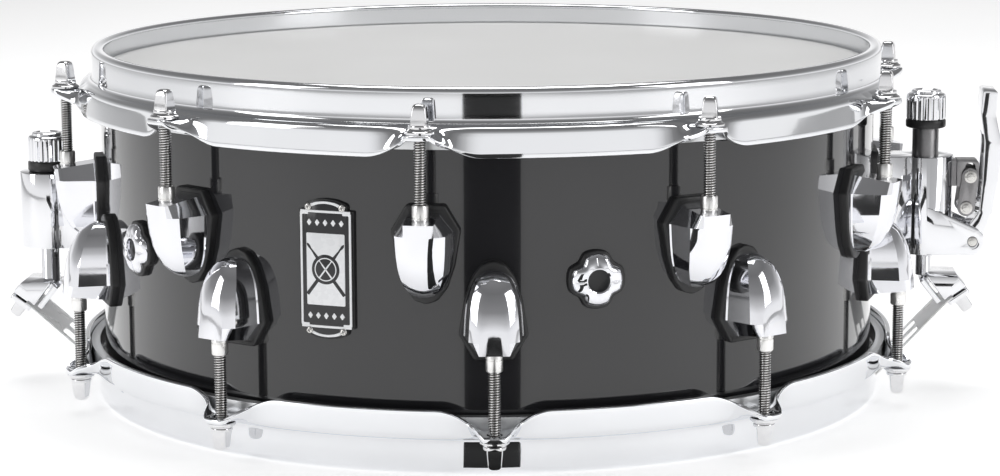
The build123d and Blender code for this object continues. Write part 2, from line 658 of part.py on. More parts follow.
def build():
    os.makedirs("parts", exist_ok=True)
    save("shell", shell())
    film_top, channel = head_film(), flesh_hoop()
    save("batter_head_film", lifted(film_top))
    save("batter_flesh_hoop", lifted(channel))
    save("snare_head_film", lifted(flipped(film_top)))
    save("snare_flesh_hoop", lifted(flipped(channel)))
    batter, snare = hoops()
    save("batter_hoop", batter)
    save("snare_hoop", snare)

    rod = tension_rod()
    rod_below = flipped(rod)
    for i, angle in enumerate(upper_angles()):
        save(f"tension_rod_top_{i + 1:02d}", lifted(turned(rod, angle)))
    for i, angle in enumerate(lower_angles()):
        save(f"tension_rod_bottom_{i + 1:02d}", lifted(turned(rod_below, angle)))
    save("tension_washers", *all_round(tension_washer()))
    save("swivel_nuts", *all_round(swivel_nut()))
    save("lug_gaskets", *all_round(lug_gasket()))
    save("lug_casings", *all_round(lug_casing()))
    save("shell_screws", *at_every_screw(shell_screw), *at_every_screw(shell_screw_washer))

    grommet, vent_gasket, retainer = vent_parts()
    for name, piece in (("vent_grommets", grommet), ("vent_gaskets", vent_gasket),
                        ("vent_retainers", retainer)):
        save(name, *[lifted(turned(piece, a)) for a in vent_angles])
    backing, plate, screws = badge_parts()
    save("badge_backing", lifted(turned(backing, badge_angle)))
    save("badge_plate", lifted(turned(plate, badge_angle)))
    save("badge_screws", *[lifted(turned(s, badge_angle)) for s in screws])

    save("snare_wires", *snare_wires())
    save("snare_end_plates", *snare_end_plates())
    strainer_corner = (202.7, -27.2)
    butt_corner = (203.6, -33.0)
    for name, place, corner in (("strainer_strap", 0, strainer_corner), ("butt_strap", 180, butt_corner)):
        clamp_low = (corner[0] + clamp_shape[3][0], corner[1] + clamp_shape[3][1])
        save(name, lifted(turned(strap(clamp_low), place)))

    save("mount_gaskets",
         lifted(mount_gasket(strainer_low - 2.5, strainer_high + 2.5, strainer_screw_z)),
         lifted(turned(mount_gasket(butt_low - 2.5, butt_high + 2.5, butt_screw_z), 180)))
    save("strainer_housing", lifted(strainer_housing()))
    save("lever_pivot_pin", lifted(along_y(2.2, -cheek_out - 0.3, cheek_out + 0.3, *lever_pivot)))
    save("throw_lever", lifted(throw_lever()))
    plates, pins = toggle_linkage()
    save("toggle_links", lifted(plates[0]), lifted(plates[1]))
    save("toggle_pins", lifted(pins[0]), lifted(pins[1]))
    save("strainer_carriage", lifted(strainer_carriage()))
    at_strainer = Pos(strainer_axis, 0, 0)
    save("strainer_knob_ring", lifted(at_strainer * knob_ring(40.2, 44.0)))
    save("strainer_knob", lifted(at_strainer * knob(44.0, -8.0)))
    block_part, jaw, screw = clamp_parts(strainer_axis, 3.45, 6.0, strainer_corner)
    save("strainer_clamp_block", lifted(block_part))
    save("strainer_clamp_jaw", lifted(jaw))
    save("strainer_clamp_screw", lifted(screw))

    butt = housing(butt_axis, butt_low, butt_high, butt_screw_z)
    butt -= rod_between(4.4, butt_low - 1, 10.0, x=butt_axis)
    butt -= rod_between(2.3, 9.0, butt_high + 1, x=butt_axis)
    save("butt_housing", lifted(turned(butt, 180)))
    at_butt = Pos(butt_axis, 0, 0)
    save("butt_knob_ring", lifted(turned(at_butt * knob_ring(18.1, 22.8), 180)))
    save("butt_knob", lifted(turned(at_butt * knob(22.8, -14.0), 180)))
    block_part, jaw, screw = clamp_parts(butt_axis, 4.25, 4.0, butt_corner)
    save("butt_clamp_block", lifted(turned(block_part, 180)))
    save("butt_clamp_jaw", lifted(turned(jaw, 180)))
    save("butt_clamp_screw", lifted(turned(screw, 180)))


build()
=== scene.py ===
import json
import math

import bmesh
import bpy
from mathutils import Matrix, Vector


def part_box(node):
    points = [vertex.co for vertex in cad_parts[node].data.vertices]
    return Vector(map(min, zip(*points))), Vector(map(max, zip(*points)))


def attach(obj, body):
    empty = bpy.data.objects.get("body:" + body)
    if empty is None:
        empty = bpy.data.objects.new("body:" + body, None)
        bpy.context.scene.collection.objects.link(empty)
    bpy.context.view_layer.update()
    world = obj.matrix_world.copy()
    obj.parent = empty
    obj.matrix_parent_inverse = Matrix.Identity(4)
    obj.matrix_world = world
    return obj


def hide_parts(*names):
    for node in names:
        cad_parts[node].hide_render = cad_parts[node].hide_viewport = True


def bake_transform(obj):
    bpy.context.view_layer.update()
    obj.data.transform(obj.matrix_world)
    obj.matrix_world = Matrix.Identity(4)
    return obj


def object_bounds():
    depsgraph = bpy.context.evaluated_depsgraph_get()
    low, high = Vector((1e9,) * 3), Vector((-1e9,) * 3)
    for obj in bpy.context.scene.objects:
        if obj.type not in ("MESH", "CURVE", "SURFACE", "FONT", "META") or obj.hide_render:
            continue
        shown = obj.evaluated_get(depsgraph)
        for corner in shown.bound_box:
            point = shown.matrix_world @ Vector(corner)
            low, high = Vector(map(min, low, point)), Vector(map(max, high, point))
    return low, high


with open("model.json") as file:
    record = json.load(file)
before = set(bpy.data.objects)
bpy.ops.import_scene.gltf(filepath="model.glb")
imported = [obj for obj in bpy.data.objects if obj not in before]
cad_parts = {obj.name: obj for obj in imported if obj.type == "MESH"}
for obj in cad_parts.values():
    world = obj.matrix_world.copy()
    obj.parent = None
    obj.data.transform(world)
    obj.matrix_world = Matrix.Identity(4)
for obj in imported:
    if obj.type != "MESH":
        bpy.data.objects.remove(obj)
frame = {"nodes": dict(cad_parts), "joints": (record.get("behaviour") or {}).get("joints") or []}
cad_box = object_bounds()

# Snare drum. Lengths in the shape code are millimetres, with heights measured up from the drum's
# mid-height; piece() turns them into the frame's metres. +X is the strainer side, -X the butt.

MM = 0.001
TURN = 2 * math.pi
nodes = frame["nodes"]
joints = {j["name"]: j for j in frame["joints"]}
shell_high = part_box("shell")[1]
shell_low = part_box("shell")[0]
mid_z = (shell_high.z + shell_low.z) / 2 / MM
shell_radius = shell_high.x / MM
edge_z = (shell_high.z - shell_low.z) / 2 / MM
hoop_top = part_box("batter_hoop")[1].z / MM - mid_z
rod_count = 10


def polar(name):
    """Angle about the drum's axis of a joint's place."""
    x, y, _ = joints[name]["pos_m"]
    return math.atan2(y, x)


def heights(node):
    """Bottom and top of a CAD node, in millimetres from the drum's mid-height."""
    low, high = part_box(node)
    return low.z / MM - mid_z, high.z / MM - mid_z


upper_angles = [polar(f"rod_top_{i + 1:02d}_turn") for i in range(rod_count)]
lower_angles = [polar(f"rod_bottom_{i + 1:02d}_turn") for i in range(rod_count)]
rod_circle = math.hypot(*joints["rod_top_01_turn"]["pos_m"][:2]) / MM
strainer_axis = joints["strainer_knob_turn"]["pos_m"][0] / MM
butt_axis = joints["butt_knob_turn"]["pos_m"][0] / MM


# ---------------------------------------------------------------- materials

def mix_colours(nt, factor, low, high):
    mix = nt.nodes.new("ShaderNodeMix")
    mix.data_type = "RGBA"
    nt.links.new(factor, mix.inputs[0])
    mix.inputs[6].default_value = (*low, 1)
    mix.inputs[7].default_value = (*high, 1)
    return mix.outputs[2]


def object_coordinates(nt, stretch=(1, 1, 1)):
    coordinates = nt.nodes.new("ShaderNodeTexCoord")
    mapping = nt.nodes.new("ShaderNodeMapping")
    mapping.inputs["Scale"].default_value = stretch
    nt.links.new(coordinates.outputs["Object"], mapping.inputs["Vector"])
    return mapping.outputs["Vector"]


def noise(nt, vector, scale, detail=3.0, rough=0.5):
    node = nt.nodes.new("ShaderNodeTexNoise")
    node.inputs["Scale"].default_value = scale
    node.inputs["Detail"].default_value = detail
    node.inputs["Roughness"].default_value = rough
    nt.links.new(vector, node.inputs["Vector"])
    return node.outputs["Fac"]


def computed(nt, operation, *values):
    """The result of a math node on sockets and plain numbers."""
    node = nt.nodes.new("ShaderNodeMath")
    node.operation = operation
    for slot, value in zip(node.inputs, values):
        if isinstance(value, float):
            slot.default_value = value
        else:
            nt.links.new(value, slot)
    return node.outputs[0]


def separated(nt, vector):
    """The three coordinates of a vector."""
    split = nt.nodes.new("ShaderNodeSeparateXYZ")
    nt.links.new(vector, split.inputs[0])
    return split.outputs


def relieved(nt, height, strength, depth_mm):
    """Bumps the material's surface by a height."""
    relief = nt.nodes.new("ShaderNodeBump")
    relief.inputs["Strength"].default_value = strength
    relief.inputs["Distance"].default_value = depth_mm * MM
    nt.links.new(height, relief.inputs["Height"])
    nt.links.new(relief.outputs["Normal"], nt.nodes["Principled BSDF"].inputs["Normal"])


def fresh_material(name):
    """A new material with its node tree and its Principled shader."""
    made = bpy.data.materials.new(name)
    made.use_nodes = True
    return made, made.node_tree, made.node_tree.nodes["Principled BSDF"]


def ranged(nt, value, low, high, start=0.3, end=0.7):
    node = nt.nodes.new("ShaderNodeMapRange")
    node.inputs["From Min"].default_value = start
    node.inputs["From Max"].default_value = end
    node.inputs["To Min"].default_value = low
    node.inputs["To Max"].default_value = high
    nt.links.new(value, node.inputs["Value"])
    return node.outputs["Result"]


def finish_of(name, low, high, rough, metallic=0.0, scale=300.0, bump=0.0, bump_mm=0.1,
              bump_scale=None, stretch=(1, 1, 1), **sockets):
    """A Principled material whose colour and roughness wander between two values, with a fine bump.

    Any further socket is given by name, with underscores for its spaces.
    """
    made, nt, shader = fresh_material(name)
    vector = object_coordinates(nt, stretch)
    wander = noise(nt, vector, scale)
    nt.links.new(mix_colours(nt, wander, low, high), shader.inputs["Base Color"])
    nt.links.new(ranged(nt, wander, *rough), shader.inputs["Roughness"])
    shader.inputs["Metallic"].default_value = metallic
    for socket, value in sockets.items():
        shader.inputs[socket.replace("_", " ")].default_value = value
    if bump:
        relieved(nt, noise(nt, vector, bump_scale or scale * 3), bump, bump_mm)
    return made


def threaded_steel():
    """Plated steel with painted shade, a dark colour, down in the thread's grooves; the object's own Z is the
    rod's axis.
    """
    made = finish_of("rod_steel", (0.74, 0.74, 0.74), (0.80, 0.80, 0.80), (0.16, 0.24), 1.0,
                     120, 0.04, 0.02, 900)
    nt = made.node_tree
    shader = nt.nodes["Principled BSDF"]
    flat = nt.nodes.new("ShaderNodeVectorMath")
    flat.operation = "LENGTH"
    nt.links.new(object_coordinates(nt, (1, 1, 0)), flat.inputs[0])
    shade_fade_from, shade_fade_to = 2.15 * MM, 2.5 * MM
    height = ranged(nt, flat.outputs["Value"], 0.0, 1.0, shade_fade_from, shade_fade_to)
    steel = shader.inputs["Base Color"].links[0].from_socket
    # painted shade: inside the radius where it fades out, the thread's grooves get a dark colour in place of
    # the steel's
    thread_shade = (0.26, 0.25, 0.24)
    thread_shaded = mix_colours(nt, height, thread_shade, thread_shade)
    nt.links.new(steel, thread_shaded.node.inputs[7])
    nt.links.new(thread_shaded, shader.inputs["Base Color"])
    return made


def plated(name, low, high, rough, scale, bump, bump_mm, bump_scale=None):
    """A bare or plated metal."""
    return finish_of(name, low, high, rough, 1.0, scale, bump, bump_mm, bump_scale)


rod_steel = threaded_steel()
# name, two colours, two roughnesses, scale of the wander, then the bump's strength, depth and scale
hoop_chrome = plated("hoop_chrome", (0.80, 0.81, 0.83), (0.86, 0.87, 0.89), (0.035, 0.075),
                     40, 0.04, 0.05, 160)
lug_chrome = plated("lug_chrome", (0.80, 0.81, 0.84), (0.88, 0.88, 0.91), (0.03, 0.08), 120, 0.05, 0.05, 420)
strainer_chrome = plated("strainer_chrome", (0.78, 0.79, 0.81), (0.86, 0.86, 0.88), (0.03, 0.08),
                         120, 0.05, 0.05, 420)
head_chrome = plated("rod_head_chrome", (0.70, 0.70, 0.71), (0.82, 0.82, 0.83), (0.06, 0.14),
                     300, 0.08, 0.03, 900)
nut_nickel = plated("nut_nickel", (0.86, 0.855, 0.84), (0.91, 0.905, 0.89), (0.26, 0.34),
                    200, 0.04, 0.02, 1200)
fastener_steel = plated("fastener_steel", (0.58, 0.57, 0.55), (0.74, 0.73, 0.71), (0.16, 0.30),
                        600, 0.1, 0.02)
link_steel = plated("link_steel", (0.26, 0.255, 0.26), (0.34, 0.335, 0.34), (0.28, 0.40), 700, 0.15, 0.03)
aluminium = plated("aluminium", (0.62, 0.63, 0.64), (0.74, 0.75, 0.76), (0.28, 0.42), 400, 0.1, 0.03)
snare_steel = plated("snare_steel", (0.62, 0.61, 0.59), (0.78, 0.77, 0.75), (0.16, 0.28), 500, 0.05, 0.02)
black_rubber = finish_of("black_rubber", (0.010, 0.010, 0.011), (0.020, 0.020, 0.021), (0.34, 0.52),
                         scale=350, bump=0.25, bump_mm=0.08, bump_scale=1800)
knob_black = finish_of("knob_black", (0.012, 0.012, 0.013), (0.022, 0.022, 0.023), (0.30, 0.45),
                       scale=400, bump=0.2, bump_mm=0.05, bump_scale=1600)
badge_black = finish_of("badge_black", (0.013, 0.013, 0.015), (0.022, 0.022, 0.024), (0.10, 0.18),
                        scale=300, bump=0.08, bump_mm=0.02)
badge_white = finish_of("badge_white", (0.80, 0.81, 0.83), (0.87, 0.88, 0.89), (0.22, 0.34),
                        scale=260, bump=0.08, bump_mm=0.02)
strap_plastic = finish_of("strap_plastic", (0.84, 0.85, 0.86), (0.90, 0.905, 0.91), (0.24, 0.34),
                          scale=60, bump=0.04, bump_mm=0.03, bump_scale=400,
                          Transmission_Weight=0.15, IOR=1.45, Subsurface_Weight=0.6,
                          Subsurface_Scale=0.003, Subsurface_Radius=(1.0, 1.0, 1.0))
# deep black lacquer under a clear coat, with a faint orange peel and a little haze
black_lacquer = finish_of("black_lacquer", (0.012, 0.012, 0.0135), (0.018, 0.018, 0.020), (0.05, 0.11),
                          scale=18, bump=0.03, bump_mm=0.06, bump_scale=110,
                          Coat_Weight=0.8, Coat_Roughness=0.015, Coat_IOR=1.5, IOR=1.4)
clear_film = finish_of("clear_film", (0.90, 0.92, 0.93), (0.96, 0.97, 0.98), (0.06, 0.12),
                       scale=30, bump=0.05, bump_mm=0.05, Transmission_Weight=0.92, IOR=1.3, Alpha=0.45)


def plywood():
    """Maple ply seen from inside: grain that runs round the shell, in long streaks."""
    made, nt, shader = fresh_material("maple_ply")
    coordinates = nt.nodes.new("ShaderNodeTexCoord")
    x, y, z = separated(nt, coordinates.outputs["Object"])
    join = nt.nodes.new("ShaderNodeCombineXYZ")
    nt.links.new(computed(nt, "ARCTAN2", y, x), join.inputs["X"])
    nt.links.new(computed(nt, "MULTIPLY", z, 60.0), join.inputs["Y"])
    grain = noise(nt, join.outputs[0], 9.0, 8.0, 0.65)
    fine = noise(nt, join.outputs[0], 40.0, 4.0, 0.7)
    tone = ranged(nt, computed(nt, "MULTIPLY_ADD", fine, 0.35, grain), 0.0, 1.0, 0.45, 0.95)
    colour = mix_colours(nt, tone, (0.36, 0.22, 0.115), (0.66, 0.46, 0.28))
    nt.links.new(colour, shader.inputs["Base Color"])
    nt.links.new(ranged(nt, grain, 0.32, 0.5), shader.inputs["Roughness"])
    relieved(nt, fine, 0.15, 0.1)
    shader.inputs["Coat Weight"].default_value = 0.25
    return made


def coated_film():
    """White sprayed coating: a fine even grit with slightly thicker and thinner patches."""
    made, nt, shader = fresh_material("coated_film")
    vector = object_coordinates(nt)
    patches = noise(nt, vector, 14, 4)
    grit = noise(nt, vector, 1500, 2)
    nt.links.new(mix_colours(nt, patches, (0.80, 0.80, 0.79), (0.86, 0.86, 0.855)),
                 shader.inputs["Base Color"])
    nt.links.new(ranged(nt, patches, 0.42, 0.58), shader.inputs["Roughness"])
    relieved(nt, grit, 0.5, 0.12)
    return made


maple_ply = plywood()
coated_white = coated_film()


# ---------------------------------------------------------------- shape tools

def rounded(points, radii, steps=6):
    """A closed outline with each corner turned into an arc of its radius."""
    nearly_straight = math.pi - 0.02
    longest_share = 0.49
    made = []
    count = len(points)
    for i, corner in enumerate(points):
        radius = radii[i] if isinstance(radii, (list, tuple)) else radii
        before = Vector(points[i - 1]) - Vector(corner)
        after = Vector(points[(i + 1) % count]) - Vector(corner)
        angle = before.angle(after)
        if radius <= 0 or angle > nearly_straight:
            made.append(tuple(corner))
            continue
        reach = min(radius / math.tan(angle / 2), longest_share * before.length, longest_share * after.length)
        radius = reach * math.tan(angle / 2)
        middle = (before.normalized() + after.normalized()).normalized()
        centre = Vector(corner) + middle * (radius / math.sin(angle / 2))
        first = Vector(corner) + before.normalized() * reach - centre
        last = Vector(corner) + after.normalized() * reach - centre
        sweep = first.angle_signed(last)
        for k in range(steps + 1):
            turn = Matrix.Rotation(-sweep * k / steps, 2)
            made.append(tuple(centre + turn @ first))
    return made


def rectangle(low, high, radius, steps):
    """A rectangle between two opposite corners, with its own corners rounded."""
    (left, bottom), (right, top) = low, high
    return rounded([(left, bottom), (right, bottom), (right, top), (left, top)], radius, steps)


def circle(radius, count):
    """Points of a circle round the origin."""
    return [(radius * math.cos(TURN * i / count), radius * math.sin(TURN * i / count)) for i in range(count)]


def inset(outline, distance):
    """A closed outline moved inwards along its own normals."""
    count = len(outline)
    area = sum(outline[i - 1][0] * outline[i][1] - outline[i][0] * outline[i - 1][1]
               for i in range(count))
    sign = 1 if area > 0 else -1
    made = []
    for i in range(count):
        a, b = Vector(outline[i - 1]), Vector(outline[(i + 1) % count])
        along = (b - a).normalized()
        made.append((outline[i][0] - along.y * distance * sign,
                     outline[i][1] + along.x * distance * sign))
    return made


def loft(loops, caps=(True, True), wrap=False):
    """Quads between closed loops of equal length; the end loops are capped unless they wrap round."""
    size, rows = len(loops[0]), len(loops)
    verts = [tuple(p) for loop in loops for p in loop]
    faces = []
    for row in range(rows if wrap else rows - 1):
        below, above = row * size, (row + 1) % rows * size
        for i in range(size):
            j = (i + 1) % size
            faces.append((below + i, below + j, above + j, above + i))
    if caps[0] and not wrap:
        faces.append(tuple(reversed(range(size))))
    if caps[1] and not wrap:
        faces.append(tuple(range((rows - 1) * size, rows * size)))
    return verts, faces


def lathe(section, steps=360):
    """A closed section of (radius, z) points turned about Z."""
    loops = [[(r * c, r * s, z) for r, z in section] for c, s in circle(1.0, steps)]
    return loft(loops, wrap=True)


def stacked(rings, count=48):
    """A solid from (radius, z) rings round the Z axis, capped at both ends."""
    return loft([[(x, y, z) for x, y in circle(radius, count)] for radius, z in rings])


def joined(*parts):
    verts, faces = [], []
    for part_verts, part_faces in parts:
        start = len(verts)
        verts += part_verts
        faces += [tuple(i + start for i in face) for face in part_faces]
    return verts, faces


def moved(part, place):
    verts, faces = part
    flip = place.determinant() < 0
    return ([tuple(place @ Vector(v)) for v in verts],
            [tuple(reversed(face)) for face in faces] if flip else faces)


def turn_z(angle):
    return Matrix.Rotation(angle, 4, "Z")


def shift(x, y, z):
    return Matrix.Translation((x, y, z))


def on_wall(angle, radius, z=0.0):
    """The place in which a part made along Z points straight out of the shell."""
    return turn_z(angle) @ shift(radius, 0, z) @ Matrix.Rotation(math.pi / 2, 4, "Y")


flip_z = Matrix.Diagonal((1, 1, -1, 1))


def at_angles(part, angles):
    """Copies of a part made at +X, turned round the drum to each angle."""
    return joined(*[moved(part, turn_z(a)) for a in angles])


def round_the_drum(part):
    """The part, made at +X for the upper row, at every upper place and mirrored at every lower one."""
    return joined(at_angles(part, upper_angles), at_angles(moved(part, flip_z), lower_angles))


def from_mesh(bm):
    """The part that a bmesh holds; the bmesh is freed."""
    bm.verts.index_update()
    part = [tuple(v.co) for v in bm.verts], [tuple(v.index for v in f.verts) for f in bm.faces]
    bm.free()
    return part


def to_bmesh(part):
    bm = bmesh.new()
    for v in part[0]:
        bm.verts.new(v)
    bm.verts.ensure_lookup_table()
    for face in part[1]:
        bm.faces.new([bm.verts[i] for i in face])
    return bm


def cad_bmesh(node):
    """A CAD node's mesh in millimetres, with its doubled points merged."""
    bm = bmesh.new()
    bm.from_mesh(nodes[node].data)
    bmesh.ops.scale(bm, vec=(1 / MM,) * 3, verts=bm.verts)
    bmesh.ops.remove_doubles(bm, verts=bm.verts, dist=0.002)
    return bm


def bevel_sharp(bm, width, angle, segments=2):
    """Rounds every edge sharper than the angle."""
    edges = [e for e in bm.edges if len(e.link_faces) == 2
             and e.calc_face_angle(0.0) > math.radians(angle)]
    bmesh.ops.bevel(bm, geom=edges, offset=width, segments=segments, profile=0.5,
                    affect="EDGES", clamp_overlap=False)


def cut_across(bm, place, normal, **settings):
    """Cuts every face along a plane, and leaves both sides."""
    bmesh.ops.bisect_plane(bm, geom=bm.verts[:] + bm.edges[:] + bm.faces[:],
                           plane_co=place, plane_no=normal, **settings)


def split_large_faces(bm):
    bmesh.ops.triangulate(bm, faces=[f for f in bm.faces if len(f.verts) > 4])


def outward_mesh(name, part):
    """A mesh in the frame's metres, from millimetres about the mid-height, with its faces outwards."""
    verts, faces = part
    mesh = bpy.data.meshes.new(name)
    mesh.from_pydata([(x * MM, y * MM, (z + mid_z) * MM) for x, y, z in verts], [], faces)
    bm = bmesh.new()
    bm.from_mesh(mesh)
    bmesh.ops.recalc_face_normals(bm, faces=bm.faces)
    bm.to_mesh(mesh)
    bm.free()
    return mesh


def soften(mesh, angle):
    """Smooth shading across every edge less sharp than the angle."""
    mesh.shade_smooth()
    mesh.set_sharp_from_angle(angle=math.radians(angle))


def linked(name, data):
    """A new object in the scene."""
    made = bpy.data.objects.new(name, data)
    bpy.context.scene.collection.objects.link(made)
    return made


def piece(name, part, materials, body, replaces=(), smooth=38):
    """One object from millimetres about the mid-height, in place and riding on its body."""
    mesh = outward_mesh(name, part)
    for made in materials if isinstance(materials, (list, tuple)) else [materials]:
        mesh.materials.append(made)
    soften(mesh, smooth)
    return settle(linked(name, mesh), body, replaces)


def settle(made, body, replaces=()):
    """Says what an object stands for and what it rides on."""
    if replaces:
        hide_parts(*replaces)
    if body:
        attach(made, body)
    return made


def carve(target, *parts):
    """Cuts closed parts, in millimetres about the mid-height, out of an object's mesh."""
    cutter = linked("cutter", outward_mesh("cutter", joined(*parts)))
    cut = target.modifiers.new("cut", "BOOLEAN")
    cut.operation = "DIFFERENCE"
    cut.solver = "EXACT"
    cut.object = cutter
    graph = bpy.context.evaluated_depsgraph_get()
    result = bpy.data.meshes.new_from_object(target.evaluated_get(graph))
    target.modifiers.remove(cut)
    target.data = result
    bpy.data.objects.remove(cutter)


def refined(ending, node, material, body, width, angle=30):
    """The CAD node's own shape with its sharp edges rounded, as a new piece."""
    flat = math.radians(0.8)
    bm = cad_bmesh(node)
    bmesh.ops.dissolve_limit(bm, angle_limit=flat, verts=bm.verts, edges=bm.edges)
    bevel_sharp(bm, width, angle)
    split_large_faces(bm)
    bmesh.ops.translate(bm, vec=(0, 0, -mid_z), verts=bm.verts)
    piece(f"{node}_{ending}", from_mesh(bm), material, body, (node,))


# ---------------------------------------------------------------- shell and heads

vent_angles = (math.radians(-72.0), math.radians(-144.0))
vent_hole = 6.05


def shell():
    """Ply shell with bearing edges, snare beds and two vent holes; black outside, maple inside."""
    wall = 6.0
    inner = shell_radius - wall
    peak = shell_radius - 1.5
    cut = peak - inner
    bed_half, bed_depth = 45.0, 2.0
    steps = 720
    loops = []
    for c, s in circle(1.0, steps):
        along = min(1.0, abs(shell_radius * s) / bed_half)
        low = -edge_z + bed_depth * (1 - along * along)
        section = [
            (inner, low + cut), (peak - 0.35, low + 0.3), (peak, low), (peak + 0.5, low + 0.15),
            (shell_radius - 0.35, low + 1.0), (shell_radius, low + 1.9), (shell_radius, low + 4.0),
            (shell_radius, -20.0), (shell_radius, 20.0), (shell_radius, edge_z - 4.0),
            (shell_radius, edge_z - 1.9), (shell_radius - 0.35, edge_z - 1.0),
            (peak + 0.5, edge_z - 0.15), (peak, edge_z), (peak - 0.35, edge_z - 0.3),
            (inner, edge_z - cut), (inner, 20.0), (inner, -20.0),
        ]
        loops.append([(r * c, r * s, z) for r, z in section])
    drum = piece("shell_body", loft(loops, wrap=True), [black_lacquer, maple_ply], None)
    drill = stacked([(vent_hole, -2 * wall), (vent_hole, 2 * wall)], 48)
    carve(drum, *[moved(drill, on_wall(a, shell_radius - wall / 2)) for a in vent_angles])
    lacquered = (shell_radius - 0.6) * MM
    for polygon in drum.data.polygons:
        outside = math.hypot(polygon.center.x, polygon.center.y) > lacquered
        polygon.material_index = 0 if outside else 1
    soften(drum.data, 20)
    settle(drum, "root", ("shell",))


def head(name, material, node, upside):
    """A film with its rounded collar, turned down into the flesh hoop."""
    film = 0.3
    top = edge_z + film
    fold = shell_radius + 0.15

    def bend(edge, crown, radius):
        return [(edge - radius + radius * math.sin(t), crown - radius + radius * math.cos(t))
                for t in (0.3, 0.6, 0.9, 1.2, 1.5708)]

    ring = [(r, top) for r in (20, 50, 80, 110, 140, 160, 170, 173.5, 175.3)]
    ring += bend(fold + film, top, 1.75)
    ring += [(fold + film, 66.0), (fold + film, 62.4), (180.0, 61.95), (182.2, 61.9), (182.4, 57.0)]
    ring += [(182.1, 57.0), (181.9, 61.6), (180.0, 61.6), (fold, 62.2), (fold, 66.0)]
    ring += bend(fold, edge_z, 1.6)[::-1]
    ring += [(r, edge_z) for r in (175.0, 173.0, 169.5, 160, 140, 110, 80, 50, 20)]
    size, steps = len(ring), 360
    verts, faces = [(0, 0, top), (0, 0, edge_z)], []
    for c, s in circle(1.0, steps):
        verts += [(r * c, r * s, z) for r, z in ring]
    for k in range(steps):
        a, b = 2 + k * size, 2 + (k + 1) % steps * size
        faces += [(a + i, b + i, b + i + 1, a + i + 1) for i in range(size - 1)]
        faces.append((0, b, a))
        faces.append((1, a + size - 1, b + size - 1))
    part = moved((verts, faces), flip_z) if upside else (verts, faces)
    piece(name, part, material, "root", (node,), smooth=30)


def flesh_hoop(name, node, upside):
    """The aluminium channel that holds the edge of a film."""
    section = rounded([(180.3, 55.0), (184.5, 55.0), (184.5, 62.65), (183.3, 62.65), (183.3, 56.4),
                       (181.4, 56.4), (181.4, 61.8), (180.3, 61.8)], 0.35, 3)
    part = lathe(section)
    piece(name, moved(part, flip_z) if upside else part, aluminium, "root", (node,))


# ---------------------------------------------------------------- hoops

hoop_sheet = 2.2
lip_roll, wall_cove = 2.4, 2.2
wall_radius, wall_high, wall_low = 181.0, 74.5, 70.0
shelf_z = 64.8
skirt_radius, skirt_low = 187.2, 52.0
edge_round = 0.45
# an ear is flat for a little way, then falls to the skirt over a longer one
ear_top, ear_reach, ear_flat, ear_fall = 62.6, 199.5, 4.5, 20.0
ear_hole = 3.3


def curve3(a, b, c, t):
    """A point of the smooth curve from a to c that b pulls towards itself."""
    return tuple(a[i] * (1 - t) ** 2 + 2 * b[i] * t * (1 - t) + c[i] * t * t for i in (0, 1))


def lerp(a, b, t):
    return tuple(a[i] + (b[i] - a[i]) * t for i in (0, 1))


def arc(centre, radius, start, end, count):
    """Points of an arc between two angles in degrees, in the (radius, height) plane."""
    points = []
    for k in range(count + 1):
        a = math.radians(start + (end - start) * k / count)
        points.append((centre[0] + radius * math.cos(a), centre[1] + radius * math.sin(a)))
    return points


def hoop_section(distance):
    """The hoop's outer face at a distance round it from the nearest ear, from the lip to the edge."""
    away = abs(distance)
    points = [(175.35, hoop_top - 1.5), (175.6, hoop_top - 0.7), (176.3, hoop_top - 0.2)]
    points += arc((wall_radius - lip_roll, hoop_top - 0.02 - lip_roll), lip_roll, 90, 0, 8)
    points += [(wall_radius, wall_high), (wall_radius, wall_low)]
    points += arc((wall_radius + wall_cove, shelf_z + wall_cove), wall_cove, 180, 270, 6)
    rise = (1 - min(1.0, max(0.0, (away - ear_flat) / ear_fall))) ** 1.9
    low = skirt_low + edge_round + (ear_top - skirt_low - edge_round) * rise
    narrow = 0.8 / (1 + (away / 8.0) ** 5)
    broad = 0.2 * math.exp(-(away / 13.0) ** 2)
    edge = skirt_radius + (ear_reach - edge_round - skirt_radius) * (narrow + broad)
    pull = lerp((186.2, 64.6), (185.8, 62.6), rise)
    bend = lerp((186.3, 61.9), (187.2, 62.6), rise)
    shelf_end = points[-1]
    steps = 6
    points += [curve3(shelf_end, pull, bend, t / steps) for t in range(1, steps + 1)]
    points += [lerp(bend, (edge, low), t / steps) for t in range(1, steps + 1)]
    return points


def sheet_section(points, thick=hoop_sheet):
    """The closed section of a pressed sheet, from its outer face, with softened edges."""
    normals = []
    last = len(points) - 1
    for i in range(len(points)):
        a, b = points[max(0, i - 1)], points[min(last, i + 1)]
        along = Vector((b[0] - a[0], b[1] - a[1])).normalized()
        normals.append(Vector((along.y, -along.x)))
    inner = [(p[0] + n.x * thick, p[1] + n.y * thick) for p, n in zip(points, normals)]

    def cap(end, direction, normal):
        half = [(0.10, 0.22), (0.28, 0.38), (0.55, edge_round)]
        whole = half + [(thick - across, out) for across, out in reversed(half)]
        return [(end[0] + normal.x * across + direction.x * out,
                 end[1] + normal.y * across + direction.y * out) for across, out in whole]

    tail = Vector((points[-1][0] - points[-2][0], points[-1][1] - points[-2][1])).normalized()
    nose = Vector((points[0][0] - points[1][0], points[0][1] - points[1][1])).normalized()
    return (points + cap(points[-1], tail, normals[-1]) + inner[::-1]
            + cap(points[0], nose, normals[0])[::-1])


def hoop_part(angles):
    """A pressed hoop swept round, with an ear at each angle and closer sections near the ears."""
    around = 190.0
    half = math.radians(180 / rod_count) * around
    places = []
    s = 0.0
    while s < half - 0.5:
        places.append(s)
        s += 0.55 if s < 14 else 1.1 if s < 30 else 2.8
    stations = [-p for p in reversed(places[1:])] + places
    loops = []
    for a in sorted(angles):
        for s in stations:
            turn = a + s / around
            c, n = math.cos(turn), math.sin(turn)
            loops.append([(r * c, r * n, z) for r, z in sheet_section(hoop_section(s))])
    return loft(loops, wrap=True)


